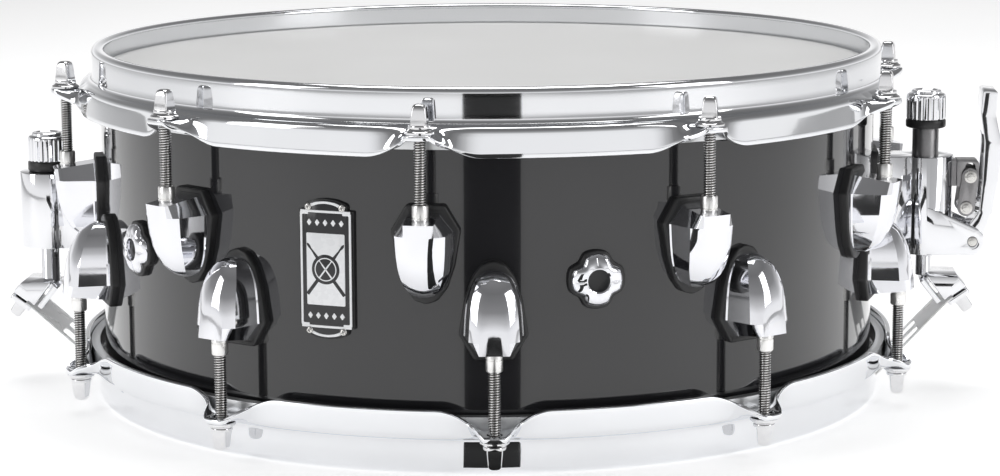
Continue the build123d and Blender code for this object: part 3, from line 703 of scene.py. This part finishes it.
def hoop(name, node, angles, upside, windows=()):
    """A hoop with its rod holes and any windows cut through it."""
    part = hoop_part(angles)
    low, high = 55, 68
    if upside:
        part = moved(part, flip_z)
        low, high = -high, -low
    hole = stacked([(ear_hole, low), (ear_hole, high)], 40)
    made = piece(name, part, hoop_chrome, None)
    carve(made, *[moved(hole, turn_z(a) @ shift(rod_circle, 0, 0)) for a in angles], *windows)
    soften(made.data, 42)
    settle(made, "root", (node,))


def hoops():
    """Both hoops; the lower one has a window at each side, where a strap passes."""
    gate = rectangle((-18, -76.6), (18, -66.6), 2.2, 5)
    gate_part = loft([[(x, y, z) for y, z in gate] for x in (172, 182.6)])
    hoop("batter_hoop_pressed", "batter_hoop", upper_angles, False)
    hoop("snare_hoop_pressed", "snare_hoop", lower_angles, True,
         [moved(gate_part, turn_z(side)) for side in (0.0, math.pi)])


# ---------------------------------------------------------------- tension rods

def square_ring(size, radius, z, count=8):
    """A square with rounded corners as 4 x count points, in step with a circle of as many points."""
    half = size / 2 - radius
    ring = []
    for quarter in range(4):
        base = math.pi / 2 * quarter
        cx = half * (1 if quarter in (0, 3) else -1)
        cy = half * (1 if quarter in (0, 1) else -1)
        for k in range(count):
            a = base + math.pi / 2 * k / (count - 1)
            ring.append((cx + radius * math.cos(a), cy + radius * math.sin(a), z))
    return ring


rod_low, rod_high = 10.5, 64.9
thread_pitch, thread_root, thread_depth = 1.06, 2.0, 0.6


def rod_part():
    """Rolled thread, round collar and a tapered square drum-key head; Z is the rod's own axis."""
    per_turn, per_pitch = 24, 6
    tip_length, tip_share = 1.2, 0.8
    rows = int((rod_high - rod_low) / thread_pitch * per_pitch)
    loops = []
    for row in range(rows + 1):
        z = rod_low + (rod_high - rod_low) * row / rows
        fade = min(1.0, (z - rod_low) / tip_length)
        loop = []
        for i in range(per_turn):
            phase = (z / thread_pitch - i / per_turn) % 1.0
            crest = min(1.0, max(0.0, 1.5 * (1 - abs(2 * phase - 1)) - 0.2))
            radius = (thread_root + thread_depth * crest) * (tip_share + (1 - tip_share) * fade)
            a = TURN * i / per_turn
            loop.append((radius * math.cos(a), radius * math.sin(a), z))
        loops.append(loop)
    thread = loft(loops)
    collar = stacked([(4.2, 64.9), (4.6, 65.05), (4.7, 65.35), (4.7, 66.0), (4.55, 66.3), (4.1, 66.4)])
    squares = [(6.55, 0.5, 66.3), (6.6, 0.55, 67.2), (6.2, 0.6, 69.6), (5.75, 0.7, 72.2),
               (5.55, 0.85, 73.1), (5.2, 1.1, 73.85), (4.5, 1.4, 74.45), (3.4, 1.5, 74.75), (2.0, 0.95, 74.8)]
    key = loft([square_ring(size, radius, z) for size, radius, z in squares])
    return thread, joined(collar, key)


def rods():
    """Twenty rods that share one mesh, each head turned to its own angle."""
    thread, top = rod_part()
    verts, faces = joined(thread, top)
    mesh = bpy.data.meshes.new("rod")
    mesh.from_pydata([(x * MM, y * MM, z * MM) for x, y, z in verts], [], faces)
    mesh.materials.append(rod_steel)
    mesh.materials.append(head_chrome)
    for k, polygon in enumerate(mesh.polygons):
        polygon.material_index = 0 if k < len(thread[1]) else 1
    soften(mesh, 42)
    reach = rod_circle * MM
    next_turn = 0.9
    for row, angles, stance in (("top", upper_angles, Matrix.Identity(4)),
                                ("bottom", lower_angles, Matrix.Rotation(math.pi, 4, "X"))):
        for i, a in enumerate(angles):
            name = f"rod_{row}_{i + 1:02d}"
            made = linked(f"{name}_threaded", mesh)
            made.matrix_world = (shift(reach * math.cos(a), reach * math.sin(a), mid_z * MM)
                                 @ turn_z(a + next_turn * i) @ stance)
            settle(made, name, (f"tension_{name}",))


def washers_and_nuts():
    """The washers under the rods' collars, and the swivel nuts' ends that stand out of the lugs."""
    washer = [(2.95, 62.6), (5.7, 62.6), (6.1, 62.95), (6.1, 63.6), (5.75, 64.0), (5.2, 64.2),
              (5.0, 64.55), (4.6, 64.9), (3.2, 64.9), (2.95, 64.7)]
    nut = [(2.65, 26.2), (3.9, 26.2), (3.9, 26.55), (3.1, 26.6), (3.05, 27.1), (3.5, 27.9), (3.5, 28.6),
           (3.2, 28.75), (3.2, 29.0), (3.5, 29.15), (3.5, 33.5), (3.2, 34.0), (2.8, 34.0), (2.65, 33.8)]
    for name, section, material, slot, node in (
            ("tension_washers_turned", washer, head_chrome, "fastener_steel", "tension_washers"),
            ("swivel_nuts_turned", nut, nut_nickel, "nut_nickel", "swivel_nuts")):
        turned = moved(lathe(section, 48), shift(rod_circle, 0, 0))
        piece(name, round_the_drum(turned), material, "root", (node,))


# ---------------------------------------------------------------- lugs

gasket_face = 181.0


def on_shell(y, radius=shell_radius + 0.02):
    return math.sqrt(radius * radius - y * y)


def pad_part(outline, face=gasket_face):
    """A rubber pad with a soft rim; the outline is (y, z) and its back follows the shell."""
    levels = [(None, 0.0), (face - 0.9, 0.0), (face - 0.35, 0.18), (face - 0.05, 0.6), (face, 1.2),
              (face, 2.2)]
    loops = []
    for x, depth in levels:
        ring = inset(outline, depth) if depth else outline
        loops.append([(on_shell(y) if x is None else x, y, z) for y, z in ring])
    return loft(loops, caps=(False, True))


# depth of the lug's front face at a height, from the rod's end down to the nose
lug_front = [(26.5, 199.5), (21.5, 199.1), (17.0, 198.6), (12.9, 198.0), (8.0, 196.8), (5.0, 195.5),
             (3.0, 194.6), (0.0, 192.9), (-2.0, 191.2), (-3.6, 189.2), (-4.8, 187.2), (-5.5, 185.4),
             (-5.9, 183.6)]
lug_top, lug_foot_top = 26.5, 29.0
lug_half, lug_end_half = 12.3, 6.5


def casing_row(z, front):
    """One cross-section of the lug: foot, two ridges each side and a slightly bowed front.

    A ridge point is its distance from the middle and its share of the depth from gasket to front.
    """
    deep = front - gasket_face
    at_end = z == lug_top
    down = max(0.0, (22 - z) / 28)
    half = lug_half * (1 - 0.12 * down) * math.sqrt(max(0.0, 1 - down ** 4))
    if at_end:
        ridge = [(lug_end_half, 0.0), (lug_end_half, 0.05), (6.45, 0.09), (6.35, 0.778), (6.3, 0.9),
                 (6.2, 0.985)]
    else:
        outer_y, inner_y = 0.844 * half, (0.51 - 0.24 * down) * half
        swell = 0.3 * half / lug_half
        ridge = [(half, 0.0), (half, 0.05), (0.962 * half, 0.09), (outer_y, 0.778),
                 ((outer_y + inner_y) / 2 + swell, 0.875 + swell / deep), (inner_y, 0.972)]
    edge, share = ridge[-1]
    bow = [(edge * k, 1.0 - (1.0 - share) * k * k) for k in (0.66, 0.33, 0.0)]
    side = ridge + bow
    points = [(-y, d) for y, d in side] + [(y, d) for y, d in reversed(side[:-1])]
    slant = (lug_foot_top - lug_top) if at_end else 0.0
    return [(gasket_face + deep * d, y, z + slant * (1 - d)) for y, d in points]


def casing_part():
    """A die-cast lug: a bowed front between two pairs of flat facets, a slanted end and a short nose."""
    bm = to_bmesh(loft([casing_row(z, front) for z, front in lug_front]))
    bevel_sharp(bm, 0.3, 22, 3)
    split_large_faces(bm)
    return from_mesh(bm)


def lugs():
    """Twenty lugs on their gaskets; a gasket shows as a dark rim round its lug's foot."""
    down_side = [(14.3, 21.5), (11.9, 7.0), (8.7, -2.5), (4.8, -7.6)]
    soft = [2.6, 12.0, 8.0, 5.0]
    rim = rounded([(-8.0, 32.0), (8.0, 32.0)] + down_side + [(0.0, -9.2)]
                  + [(-y, z) for y, z in reversed(down_side)],
                  [1.8, 1.8] + soft + [5.0] + soft[::-1], 8)
    piece("lug_gaskets_moulded", round_the_drum(pad_part(rim)), black_rubber, "root",
          ("lug_gaskets",), smooth=45)
    piece("lug_casings_cast", round_the_drum(casing_part()), lug_chrome, "root",
          ("lug_casings",), smooth=22)


# ---------------------------------------------------------------- vents and badge

badge_low, badge_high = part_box("badge_plate")
badge_middle = (badge_low + badge_high) / 2
badge_angle = math.atan2(badge_middle.y, badge_middle.x)
badge_z = (badge_low.z + badge_high.z) / 2 / MM - mid_z
vent_pad = 2.4
vent_bore, vent_throat, vent_tube = 4.5, 5.3, 5.9
vent_reach, vent_waist, vent_rim = 10.9, 9.0, 1.3


def lobed(angle, reach, waist):
    """Outline radius of the four-lobed rosette: broad lobes up, down and to each side."""
    lobe_half = 20
    fold = abs((math.degrees(angle) + 45) % 90 - 45)
    if fold < lobe_half:
        return reach
    share = (fold - lobe_half) / (45 - lobe_half)
    return reach + (waist - reach) * (0.5 - 0.5 * math.cos(math.pi * min(1.0, share)))


def vent_part():
    """A cast rosette, pleated towards its bore, with a rolled outer edge."""
    count = 96
    base = shell_radius + vent_pad
    bore = [(vent_bore, -11.5), (vent_bore, 2.2), (vent_bore + 0.25, 2.95), (vent_throat, 3.3)]
    # share of the way from the throat to the outline, and height over the gasket
    face = [(0.25, 3.35), (0.5, 3.1), (0.72, 2.5), (0.88, 1.7), (0.97, 0.9), (1.0, 0.35), (0.985, 0.0)]
    loops = [[(base + h, y, z) for y, z in circle(r, count)] for r, h in bore]
    for share, height in face:
        loop = []
        for i, (y, z) in enumerate(circle(1.0, count)):
            a = TURN * i / count
            r = vent_throat + (lobed(a, vent_reach, vent_waist) - vent_throat) * share
            pleat = 0.78 + 0.22 * abs(math.sin(2 * a)) ** 0.8
            loop.append((base + height * pleat, r * y, r * z))
        loops.append(loop)
    loops += [[(base + h, y, z) for y, z in circle(vent_tube, count)] for h in (0.0, -11.3)]
    return loft(loops, wrap=True)


def vents():
    """Both air vents: rosette outside, gasket under it and retainer inside."""
    count = 72
    rim = []
    for i, (y, z) in enumerate(circle(1.0, count)):
        r = lobed(TURN * i / count, vent_reach + vent_rim, vent_waist + vent_rim + 0.1)
        rim.append((r * y, r * z))
    gasket = pad_part(rim, shell_radius + vent_pad)
    ring = [(5.95, -9), (8.6, -9), (9.0, -8.6), (9.0, -7.3), (5.95, -7.3)]
    retainer = moved(lathe(ring, 64), on_wall(0.0, shell_radius))
    piece("vent_grommets_cast", at_angles(vent_part(), vent_angles), lug_chrome, "root",
          ("vent_grommets",), smooth=30)
    piece("vent_gaskets_moulded", at_angles(gasket, vent_angles), black_rubber, "root",
          ("vent_gaskets",), smooth=45)
    piece("vent_retainers_turned", at_angles(retainer, vent_angles), fastener_steel, "root",
          ("vent_retainers",))


def curved(y, z, radius):
    """A point of a flat drawing laid on a cylinder round the drum's axis."""
    a = y / radius
    return radius * math.cos(a), radius * math.sin(a), z


def band_on_shell(outer, inner, low, high, lip=0.12):
    """A raised frame between two outlines of equal count, laid on the shell's curve."""
    loops = [[curved(y, z, low) for y, z in outer], [curved(y, z, high - lip) for y, z in outer],
             [curved(y, z, high) for y, z in inset(outer, lip)],
             [curved(y, z, high) for y, z in inset(inner, -lip)],
             [curved(y, z, high - lip) for y, z in inner], [curved(y, z, low) for y, z in inner]]
    return loft(loops, wrap=True)


def slab_on_shell(outline, low, high, lip=0.25):
    """A filled plate laid on the shell's curve, cut into strips so that it can bend."""
    strip = 1.2
    levels = [(low, 0.0), (high - lip, 0.0), (high - lip * 0.3, lip * 0.3), (high, lip)]
    flat = [[(y, z, x) for y, z in (inset(outline, d) if d else outline)] for x, d in levels]
    bm = to_bmesh(loft(flat))
    reach = max(abs(p[0]) for p in outline)
    y = -reach + strip
    while y < reach:
        cut_across(bm, (y, 0, 0), (1, 0, 0), dist=0.0005)
        y += strip
    for v in bm.verts:
        v.co = Vector(curved(v.co.x, v.co.y, v.co.z))
    split_large_faces(bm)
    return from_mesh(bm)


def badge_outline(shrink=0.0):
    """The badge's edge: a rectangle with a bowed tab above and below, made smaller all round."""
    half, tab = 12.4 - shrink, 9.6 - shrink
    body, top = 24.6 - shrink, 29.4 - shrink
    bow = 2.2
    right = [(half, -body), (half, body), (tab, body), (tab, top - bow), (tab * 0.5, top - bow * 0.25),
             (0, top), (-tab * 0.5, top - bow * 0.25), (-tab, top - bow), (-tab, body)]
    corners = right + [(-y, -z) for y, z in right]
    tab_soft = [0.3, 1.6, 9, 18, 9, 1.6, 0.3]
    return rounded(corners, [0.5, 0.5] + tab_soft + [0.5, 0.5] + tab_soft, 4)


def stick(length, width, tilt):
    """Outline of a drumstick: a tapered shaft and an acorn tip."""
    half = length / 2
    side = [(-half, width * 0.5), (half * 0.45, width * 0.44), (half * 0.80, width * 0.20),
            (half * 0.86, width * 0.36), (half * 0.94, width * 0.38), (half, width * 0.12)]
    loop = side + [(x, -y) for x, y in reversed(side)]
    c, s = math.cos(tilt), math.sin(tilt)
    return rounded([(x * c - y * s, x * s + y * c) for x, y in loop], width * 0.12, 3)


def badge():
    """Backing and plate on the shell's curve, with a plain border, a pale panel and crossed sticks."""
    place = turn_z(badge_angle) @ shift(0, 0, badge_z)
    plate_face = shell_radius + 2.5
    crossing = (52, 128)
    backing = slab_on_shell(badge_outline(), shell_radius + 0.02, shell_radius + 1.75, 0.5)
    piece("badge_backing_moulded", moved(backing, place), black_rubber, "root",
          ("badge_backing",), smooth=40)
    plate = slab_on_shell(badge_outline(0.55), shell_radius + 1.6, plate_face - 0.12, 0.2)
    piece("badge_plate_enamelled", moved(plate, place), badge_black, "root",
          ("badge_plate",), smooth=40)
    low, high = plate_face - 0.16, plate_face
    edge, inside = badge_outline(0.95), badge_outline(1.95)
    lines = [band_on_shell(edge, inside, low, high)]
    for z in (-24.0, 24.0):
        bar = rectangle((-11.2, z - 0.5), (11.2, z + 0.5), 0.15, 2)
        lines.append(slab_on_shell(bar, low, high, 0.1))
    lines.append(slab_on_shell(rectangle((-8.6, -15.0), (8.6, 15.0), 0.5, 3), low, high, 0.12))
    for z in (-19.4, 19.4):
        for k in range(-2, 3):
            mark = rounded([(k * 3.6, z - 1.5), (k * 3.6 + 1.1, z), (k * 3.6, z + 1.5), (k * 3.6 - 1.1, z)],
                           0.2, 2)
            lines.append(slab_on_shell(mark, low, high, 0.08))
    piece("badge_lines", moved(joined(*lines), place), badge_white, "root", smooth=40)
    motif = [circle(6.2, 48)] + [stick(27.0, 1.5, math.radians(tilt)) for tilt in crossing]
    motif_parts = [slab_on_shell(outline, high - 0.02, high + 0.10, 0.05) for outline in motif]
    piece("badge_motif", moved(joined(*motif_parts), place), badge_black, "root", smooth=40)
    light = [band_on_shell(circle(4.9, 48), circle(4.45, 48), high + 0.06, high + 0.16, 0.03)]
    light += [slab_on_shell(stick(9.6, 0.7, math.radians(tilt)), high + 0.06, high + 0.16, 0.03)
              for tilt in crossing]
    piece("badge_highlights", moved(joined(*light), place), badge_white, "root", smooth=40)
    dome = stacked([(1.55, 0), (1.55, 0.25), (1.4, 0.5), (1.1, 0.72), (0.6, 0.86), (0.1, 0.9)], 32)
    # painted shade: each screw's slot is a black bar set into the steel dome, standing in for the shade down
    # in a cut slot
    bar = rectangle((-0.8, -0.13), (0.8, 0.13), 0.1, 2)
    slot = loft([[(x, w, h) for x, w in bar] for h in (0.5, 0.93)])
    screws, slots = [], []
    for y in (-7.6, 7.6):
        for z in (-25.8, 25.8):
            stand = on_wall(badge_angle + y / plate_face, plate_face - 0.1, badge_z + z)
            screws.append(moved(dome, stand))
            slots += [moved(slot, stand @ turn_z(turn)) for turn in (0.4, 0.4 + math.pi / 2)]
    piece("badge_screws_domed", joined(*screws), fastener_steel, "root", ("badge_screws",))
    piece("badge_screw_slot_shade", joined(*slots), knob_black, "root")


# ---------------------------------------------------------------- snares

def coil_part(length, radius, pitch=1.75, wire=0.24):
    """One coiled snare along X."""
    per_turn, sides = 9, 4
    steps = int(length / pitch * per_turn)
    reach = radius - wire
    loops = []
    for k in range(steps + 1):
        a = TURN * k / per_turn
        x = -length / 2 + wire + (length - 2 * wire) * k / steps
        c, s = math.cos(a), math.sin(a)
        loops.append([(x + along, (reach + out) * c, (reach + out) * s)
                      for out, along in circle(wire, sides)])
    return loft(loops)


def snares():
    low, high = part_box("snare_wires")
    radius = (high.z - low.z) / 2 / MM
    width = (high.y - low.y) / MM - 2 * radius
    count = 20
    z = (high.z + low.z) / 2 / MM - mid_z
    wire = coil_part((high.x - low.x) / MM, radius)
    part = joined(*[moved(wire, shift(0, -width / 2 + width * i / (count - 1), z)) for i in range(count)])
    piece("snare_coils", part, snare_steel, "root", ("snare_wires",), smooth=60)
    refined("bright", "snare_end_plates", fastener_steel, "root", 0.25)


def strap(name, node, side):
    """Translucent strap with two long slots; its mesh is cut across every 2 mm and lengthwise in four places.
    """
    slot_near, slot_far, slot_middle, slot_half = 183.0, 199.5, 7.2, 4.9
    bm = cad_bmesh(node)
    for x in range(150, 214, 2):
        cut_across(bm, (side * x, 0, 0), (1, 0, 0))
    for y in (-9.5, -5.0, 5.0, 9.5):
        cut_across(bm, (0, y, 0), (0, 1, 0))
    bmesh.ops.translate(bm, vec=(0, 0, -mid_z), verts=bm.verts)
    made = piece(name, from_mesh(bm), strap_plastic, None, (node,))
    slots = []
    for y in (-slot_middle, slot_middle):
        window = rectangle((side * slot_near, y - slot_half), (side * slot_far, y + slot_half), 1.6, 4)
        slots.append(loft([[(x, w, z) for x, w in window] for z in (-90, -30)]))
    carve(made, *slots)
    soften(made.data, 40)
    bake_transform(made)


# ---------------------------------------------------------------- strainer and butt

def knob_part(radius, height):
    """Fluted knob: flat-topped ribs with round grooves, a stepped cap and a dished top."""
    flutes, per_flute, flute_depth = 24, 8, 0.5
    count = flutes * per_flute
    # height, share of the radius and share of the flutes' depth
    levels = [(0.0, 0.90, 0.0), (0.25, 0.97, 0.3), (0.7, 1.0, 1.0), (height - 2.2, 1.0, 1.0),
              (height - 1.6, 0.995, 0.6), (height - 1.1, 0.985, 0.0), (height - 0.5, 0.96, 0.0),
              (height - 0.1, 0.90, 0.0), (height, 0.84, 0.0),
              (height + 0.1, 0.78, 0.0), (height + 1.2, 0.76, 0.0), (height + 1.5, 0.72, 0.0),
              (height + 1.5, 0.58, 0.0), (height + 1.2, 0.54, 0.0), (height + 1.15, 0.1, 0.0)]
    loops = []
    for z, share, depth in levels:
        loop = []
        for i, (x, y) in enumerate(circle(1.0, count)):
            groove = max(0.0, math.cos(TURN * (i % per_flute) / per_flute)) ** 1.4
            r = radius * share - flute_depth * depth * groove
            loop.append((r * x, r * y, z))
        loops.append(loop)
    return loft(loops)


def knob(name, axis, ring_body):
    """A fluted knob on its spindle, and the black ring under it."""
    bottom, top = heights(f"{name}_knob")
    cap_height, cap_rise = 12.0, 13.5
    spindle = stacked([(1.6, bottom), (2.05, bottom + 0.6), (2.05, top - cap_rise + 0.5)], 32)
    part = joined(moved(knob_part(8.97, cap_height), shift(axis, 0, top - cap_rise)),
                  moved(spindle, shift(axis, 0, 0)))
    piece(f"{name}_knob_fluted", part, strainer_chrome, f"{name}_knob", (f"{name}_knob",),
          smooth=30)
    low, high = heights(f"{name}_knob_ring")
    ring = [(2.3, low), (8.2, low), (8.9, low + 0.3), (9.15, low + 0.9), (9.15, high - 0.7),
            (8.95, high - 0.2), (8.5, high), (2.3, high)]
    piece(f"{name}_ring_moulded", moved(lathe(ring, 96), shift(axis, 0, 0)), knob_black, ring_body,
          (f"{name}_knob_ring",))


def mount_pads():
    """The rubber pads under both housings, a little larger than the housings all round."""
    margin, half = 2.2, 15.5
    parts = []
    for side, node in ((0.0, "strainer_housing"), (math.pi, "butt_housing")):
        bottom, top = heights(node)
        rim = rectangle((-half, bottom - margin), (half, top + margin), 4, 8)
        parts.append(moved(pad_part(rim, shell_radius + 2.2), turn_z(side)))
    piece("mount_gaskets_moulded", joined(*parts), black_rubber, "root",
          ("mount_gaskets",), smooth=45)


def strainer():
    """What keeps its CAD shape at the strainer and the butt, with softened edges."""
    # CAD node, last word of the piece's name, material, body, slot, edge width
    for node, ending, material, body, slot, width in (
            ("strainer_housing", "cast", strainer_chrome, "root", "strainer_chrome", 0.35),
            ("throw_lever", "cast", strainer_chrome, "lever", "strainer_chrome", 0.4),
            ("strainer_clamp_block", "cast", strainer_chrome, "strainer_clamp", "strainer_chrome", 0.3),
            ("strainer_clamp_jaw", "cast", strainer_chrome, "strainer_clamp", "strainer_chrome", 0.3),
            ("strainer_clamp_screw", "bright", head_chrome, "strainer_screw", "fastener_steel", 0.3),
            ("butt_housing", "cast", strainer_chrome, "root", "strainer_chrome", 0.35),
            ("butt_clamp_block", "cast", strainer_chrome, "butt_clamp", "strainer_chrome", 0.3),
            ("butt_clamp_jaw", "cast", strainer_chrome, "butt_clamp", "strainer_chrome", 0.3),
            ("butt_clamp_screw", "bright", head_chrome, "butt_screw", "fastener_steel", 0.3)):
        refined(ending, node, material, body, width, 35)
    for node, ending, material, body, slot, width in (
            ("lever_pivot_pin", "bright", fastener_steel, "root", "fastener_steel", 0.3),
            ("toggle_links", "stamped", link_steel, "link", "link_steel", 0.2),
            ("toggle_pins", "bright", fastener_steel, "link", "fastener_steel", 0.2),
            ("strainer_carriage", "steel", link_steel, "carriage", "link_steel", 0.25),
            ("shell_screws", "bright", fastener_steel, "root", "fastener_steel", 0.25)):
        refined(ending, node, material, body, width, 40)


# ---------------------------------------------------------------- the stage

# the floor's painted glow (it is no lamp) in the middle and aside, and where it falls from one to the other,
# in metres
floor_glow, floor_glow_aside = 0.46, 0.18
glow_from, glow_to = 0.45, 1.8
# height on the sky as a share, and its brightness there
sky_levels = [(0.07, 0.95), (0.18, 0.55), (0.38, 0.26), (0.75, 0.17), (1.0, 0.22)]
camera_azimuth, camera_elevation, camera_distance = math.radians(3.65), math.radians(9.38), 1.38171


def softbox(name, size, place, look_at, power):
    lamp = bpy.data.lights.new(name, "AREA")
    lamp.shape = "RECTANGLE"
    lamp.size, lamp.size_y = size
    lamp.energy = power
    made = linked(name, lamp)
    made.location = place
    made.rotation_mode = "QUATERNION"
    made.rotation_quaternion = (Vector(look_at) - Vector(place)).to_track_quat("-Z", "Y")


def staged(name, corners, faces, paint):
    """A flat object of the stage, in metres."""
    mesh = bpy.data.meshes.new(name)
    mesh.from_pydata(corners, [], faces)
    mesh.materials.append(paint)
    made = linked(name, mesh)
    return made


def glow_floor():
    """White paper floor with a painted glow of its own, stronger in the middle than aside, which keeps it
    white.
    """
    paint = finish_of("floor_paint_and_glow", (0.90, 0.90, 0.90), (0.93, 0.93, 0.93), (0.6, 0.8), scale=3,
                      Emission_Color=(1, 1, 1, 1))
    nt = paint.node_tree
    # painted glow: the floor emits light, more in front of the drum than to either side
    aside = computed(nt, "ABSOLUTE", separated(nt, object_coordinates(nt))["X"])
    glow = ranged(nt, aside, floor_glow, floor_glow_aside, glow_from, glow_to)
    nt.links.new(glow, nt.nodes["Principled BSDF"].inputs["Emission Strength"])
    reach = 12.0
    floor = staged("floor", [(-reach, -reach, 0), (reach, -reach, 0), (reach, reach, 0), (-reach, reach, 0)],
                   [(0, 1, 2, 3)], paint)
    floor.location.z = cad_box[0].z - 0.0005


def sky():
    """A white horizon under a darker ceiling, so that chrome shows a light and a dark side."""
    world = bpy.data.worlds.new("studio")
    bpy.context.scene.world = world
    world.use_nodes = True
    nt = world.node_tree
    background = nt.nodes["Background"]
    coordinates = nt.nodes.new("ShaderNodeTexCoord")
    ramp = nt.nodes.new("ShaderNodeValToRGB")
    stops = ramp.color_ramp.elements
    stops.remove(stops[1])
    stops[0].position = 0.0
    stops[0].color = (1, 1, 1, 1)
    for height, level in sky_levels:
        stops.new(height).color = (level, level, level * 1.01, 1)
    nt.links.new(separated(nt, coordinates.outputs["Generated"])["Z"], ramp.inputs["Fac"])
    nt.links.new(ramp.outputs["Color"], background.inputs["Color"])
    background.inputs["Strength"].default_value = 1.0


def dark_strip():
    """The dark strip that the lacquer and the chrome mirror in front of the drum.

    It widens away from the drum, under the camera, and turns up at its far end. It is there for
    reflections alone: it neither shows itself nor shades anything.
    """
    black_card = finish_of("black_card", (0.004, 0.004, 0.004), (0.006, 0.006, 0.006), (0.7, 0.9), scale=5)
    near, near_left, near_right = -0.19, -0.0116, 0.0145
    far, far_left, far_right = -2.5, -0.28, 0.40
    ground, upright = cad_box[0].z - 0.0003, 0.13
    corners = [(near_left, near, ground), (near_right, near, ground), (far_right, far, ground),
               (far_left, far, ground), (far_right, far, upright), (far_left, far, upright)]
    turn = turn_z(camera_azimuth)
    strip = staged("dark_strip", [tuple(turn @ Vector(corner)) for corner in corners],
                   [(0, 1, 2, 3), (3, 2, 4, 5)], black_card)
    strip.visible_camera = False
    strip.visible_diffuse = False
    strip.visible_shadow = False


def studio():
    glow_floor()
    sky()
    dark_strip()
    centre = (0, 0, mid_z * MM)
    softbox("left_box", (0.9, 1.6), (-2.0, -1.2, 1.1), centre, 12)
    softbox("right_box", (0.9, 1.6), (2.0, -1.0, 1.1), centre, 12)
    softbox("top_box", (1.6, 1.2), (0, 0.5, 2.2), centre, 25)


def camera():
    """The picture's own viewpoint: a long lens a little above the rim, turned slightly off the centre."""
    yaw, pitch, roll = (math.radians(a) for a in (-0.24, -0.53, 0.28))
    across = math.cos(camera_elevation)
    back = Vector((math.sin(camera_azimuth) * across, -math.cos(camera_azimuth) * across,
                   math.sin(camera_elevation)))
    ahead, right = -back, Vector((math.cos(camera_azimuth), math.sin(camera_azimuth), 0))
    turn = Matrix.Rotation(yaw, 3, right.cross(ahead))
    ahead, right = turn @ ahead, turn @ right
    ahead = Matrix.Rotation(pitch, 3, right) @ ahead
    up = right.cross(ahead)
    tilt = Matrix.Rotation(roll, 3, ahead)
    right, up = tilt @ right, tilt @ up
    lens = bpy.data.cameras.new("camera")
    lens.sensor_width = 36
    lens.sensor_fit = "HORIZONTAL"
    lens.lens = 106.7
    lens.clip_start, lens.clip_end = 0.05, 60
    made = linked("camera", lens)
    pose = Matrix((right, up, -ahead)).transposed().to_4x4()
    pose.translation = Vector((0, 0, mid_z * MM)) + back * camera_distance
    made.matrix_world = pose
    bpy.context.scene.camera = made


shell()
head("batter_head_coated", coated_white, "batter_head_film", False)
head("snare_head_clear", clear_film, "snare_head_film", True)
flesh_hoop("batter_flesh_hoop_channel", "batter_flesh_hoop", False)
flesh_hoop("snare_flesh_hoop_channel", "snare_flesh_hoop", True)
hoops()
rods()
washers_and_nuts()
lugs()
vents()
badge()
snares()
strap("strainer_strap_slotted", "strainer_strap", 1)
strap("butt_strap_slotted", "butt_strap", -1)
knob("strainer", strainer_axis, "carriage")
knob("butt", butt_axis, "butt_knob")
mount_pads()
strainer()
studio()
camera()
bpy.context.scene.view_settings.view_transform = "Standard"

bpy.context.view_layer.update()
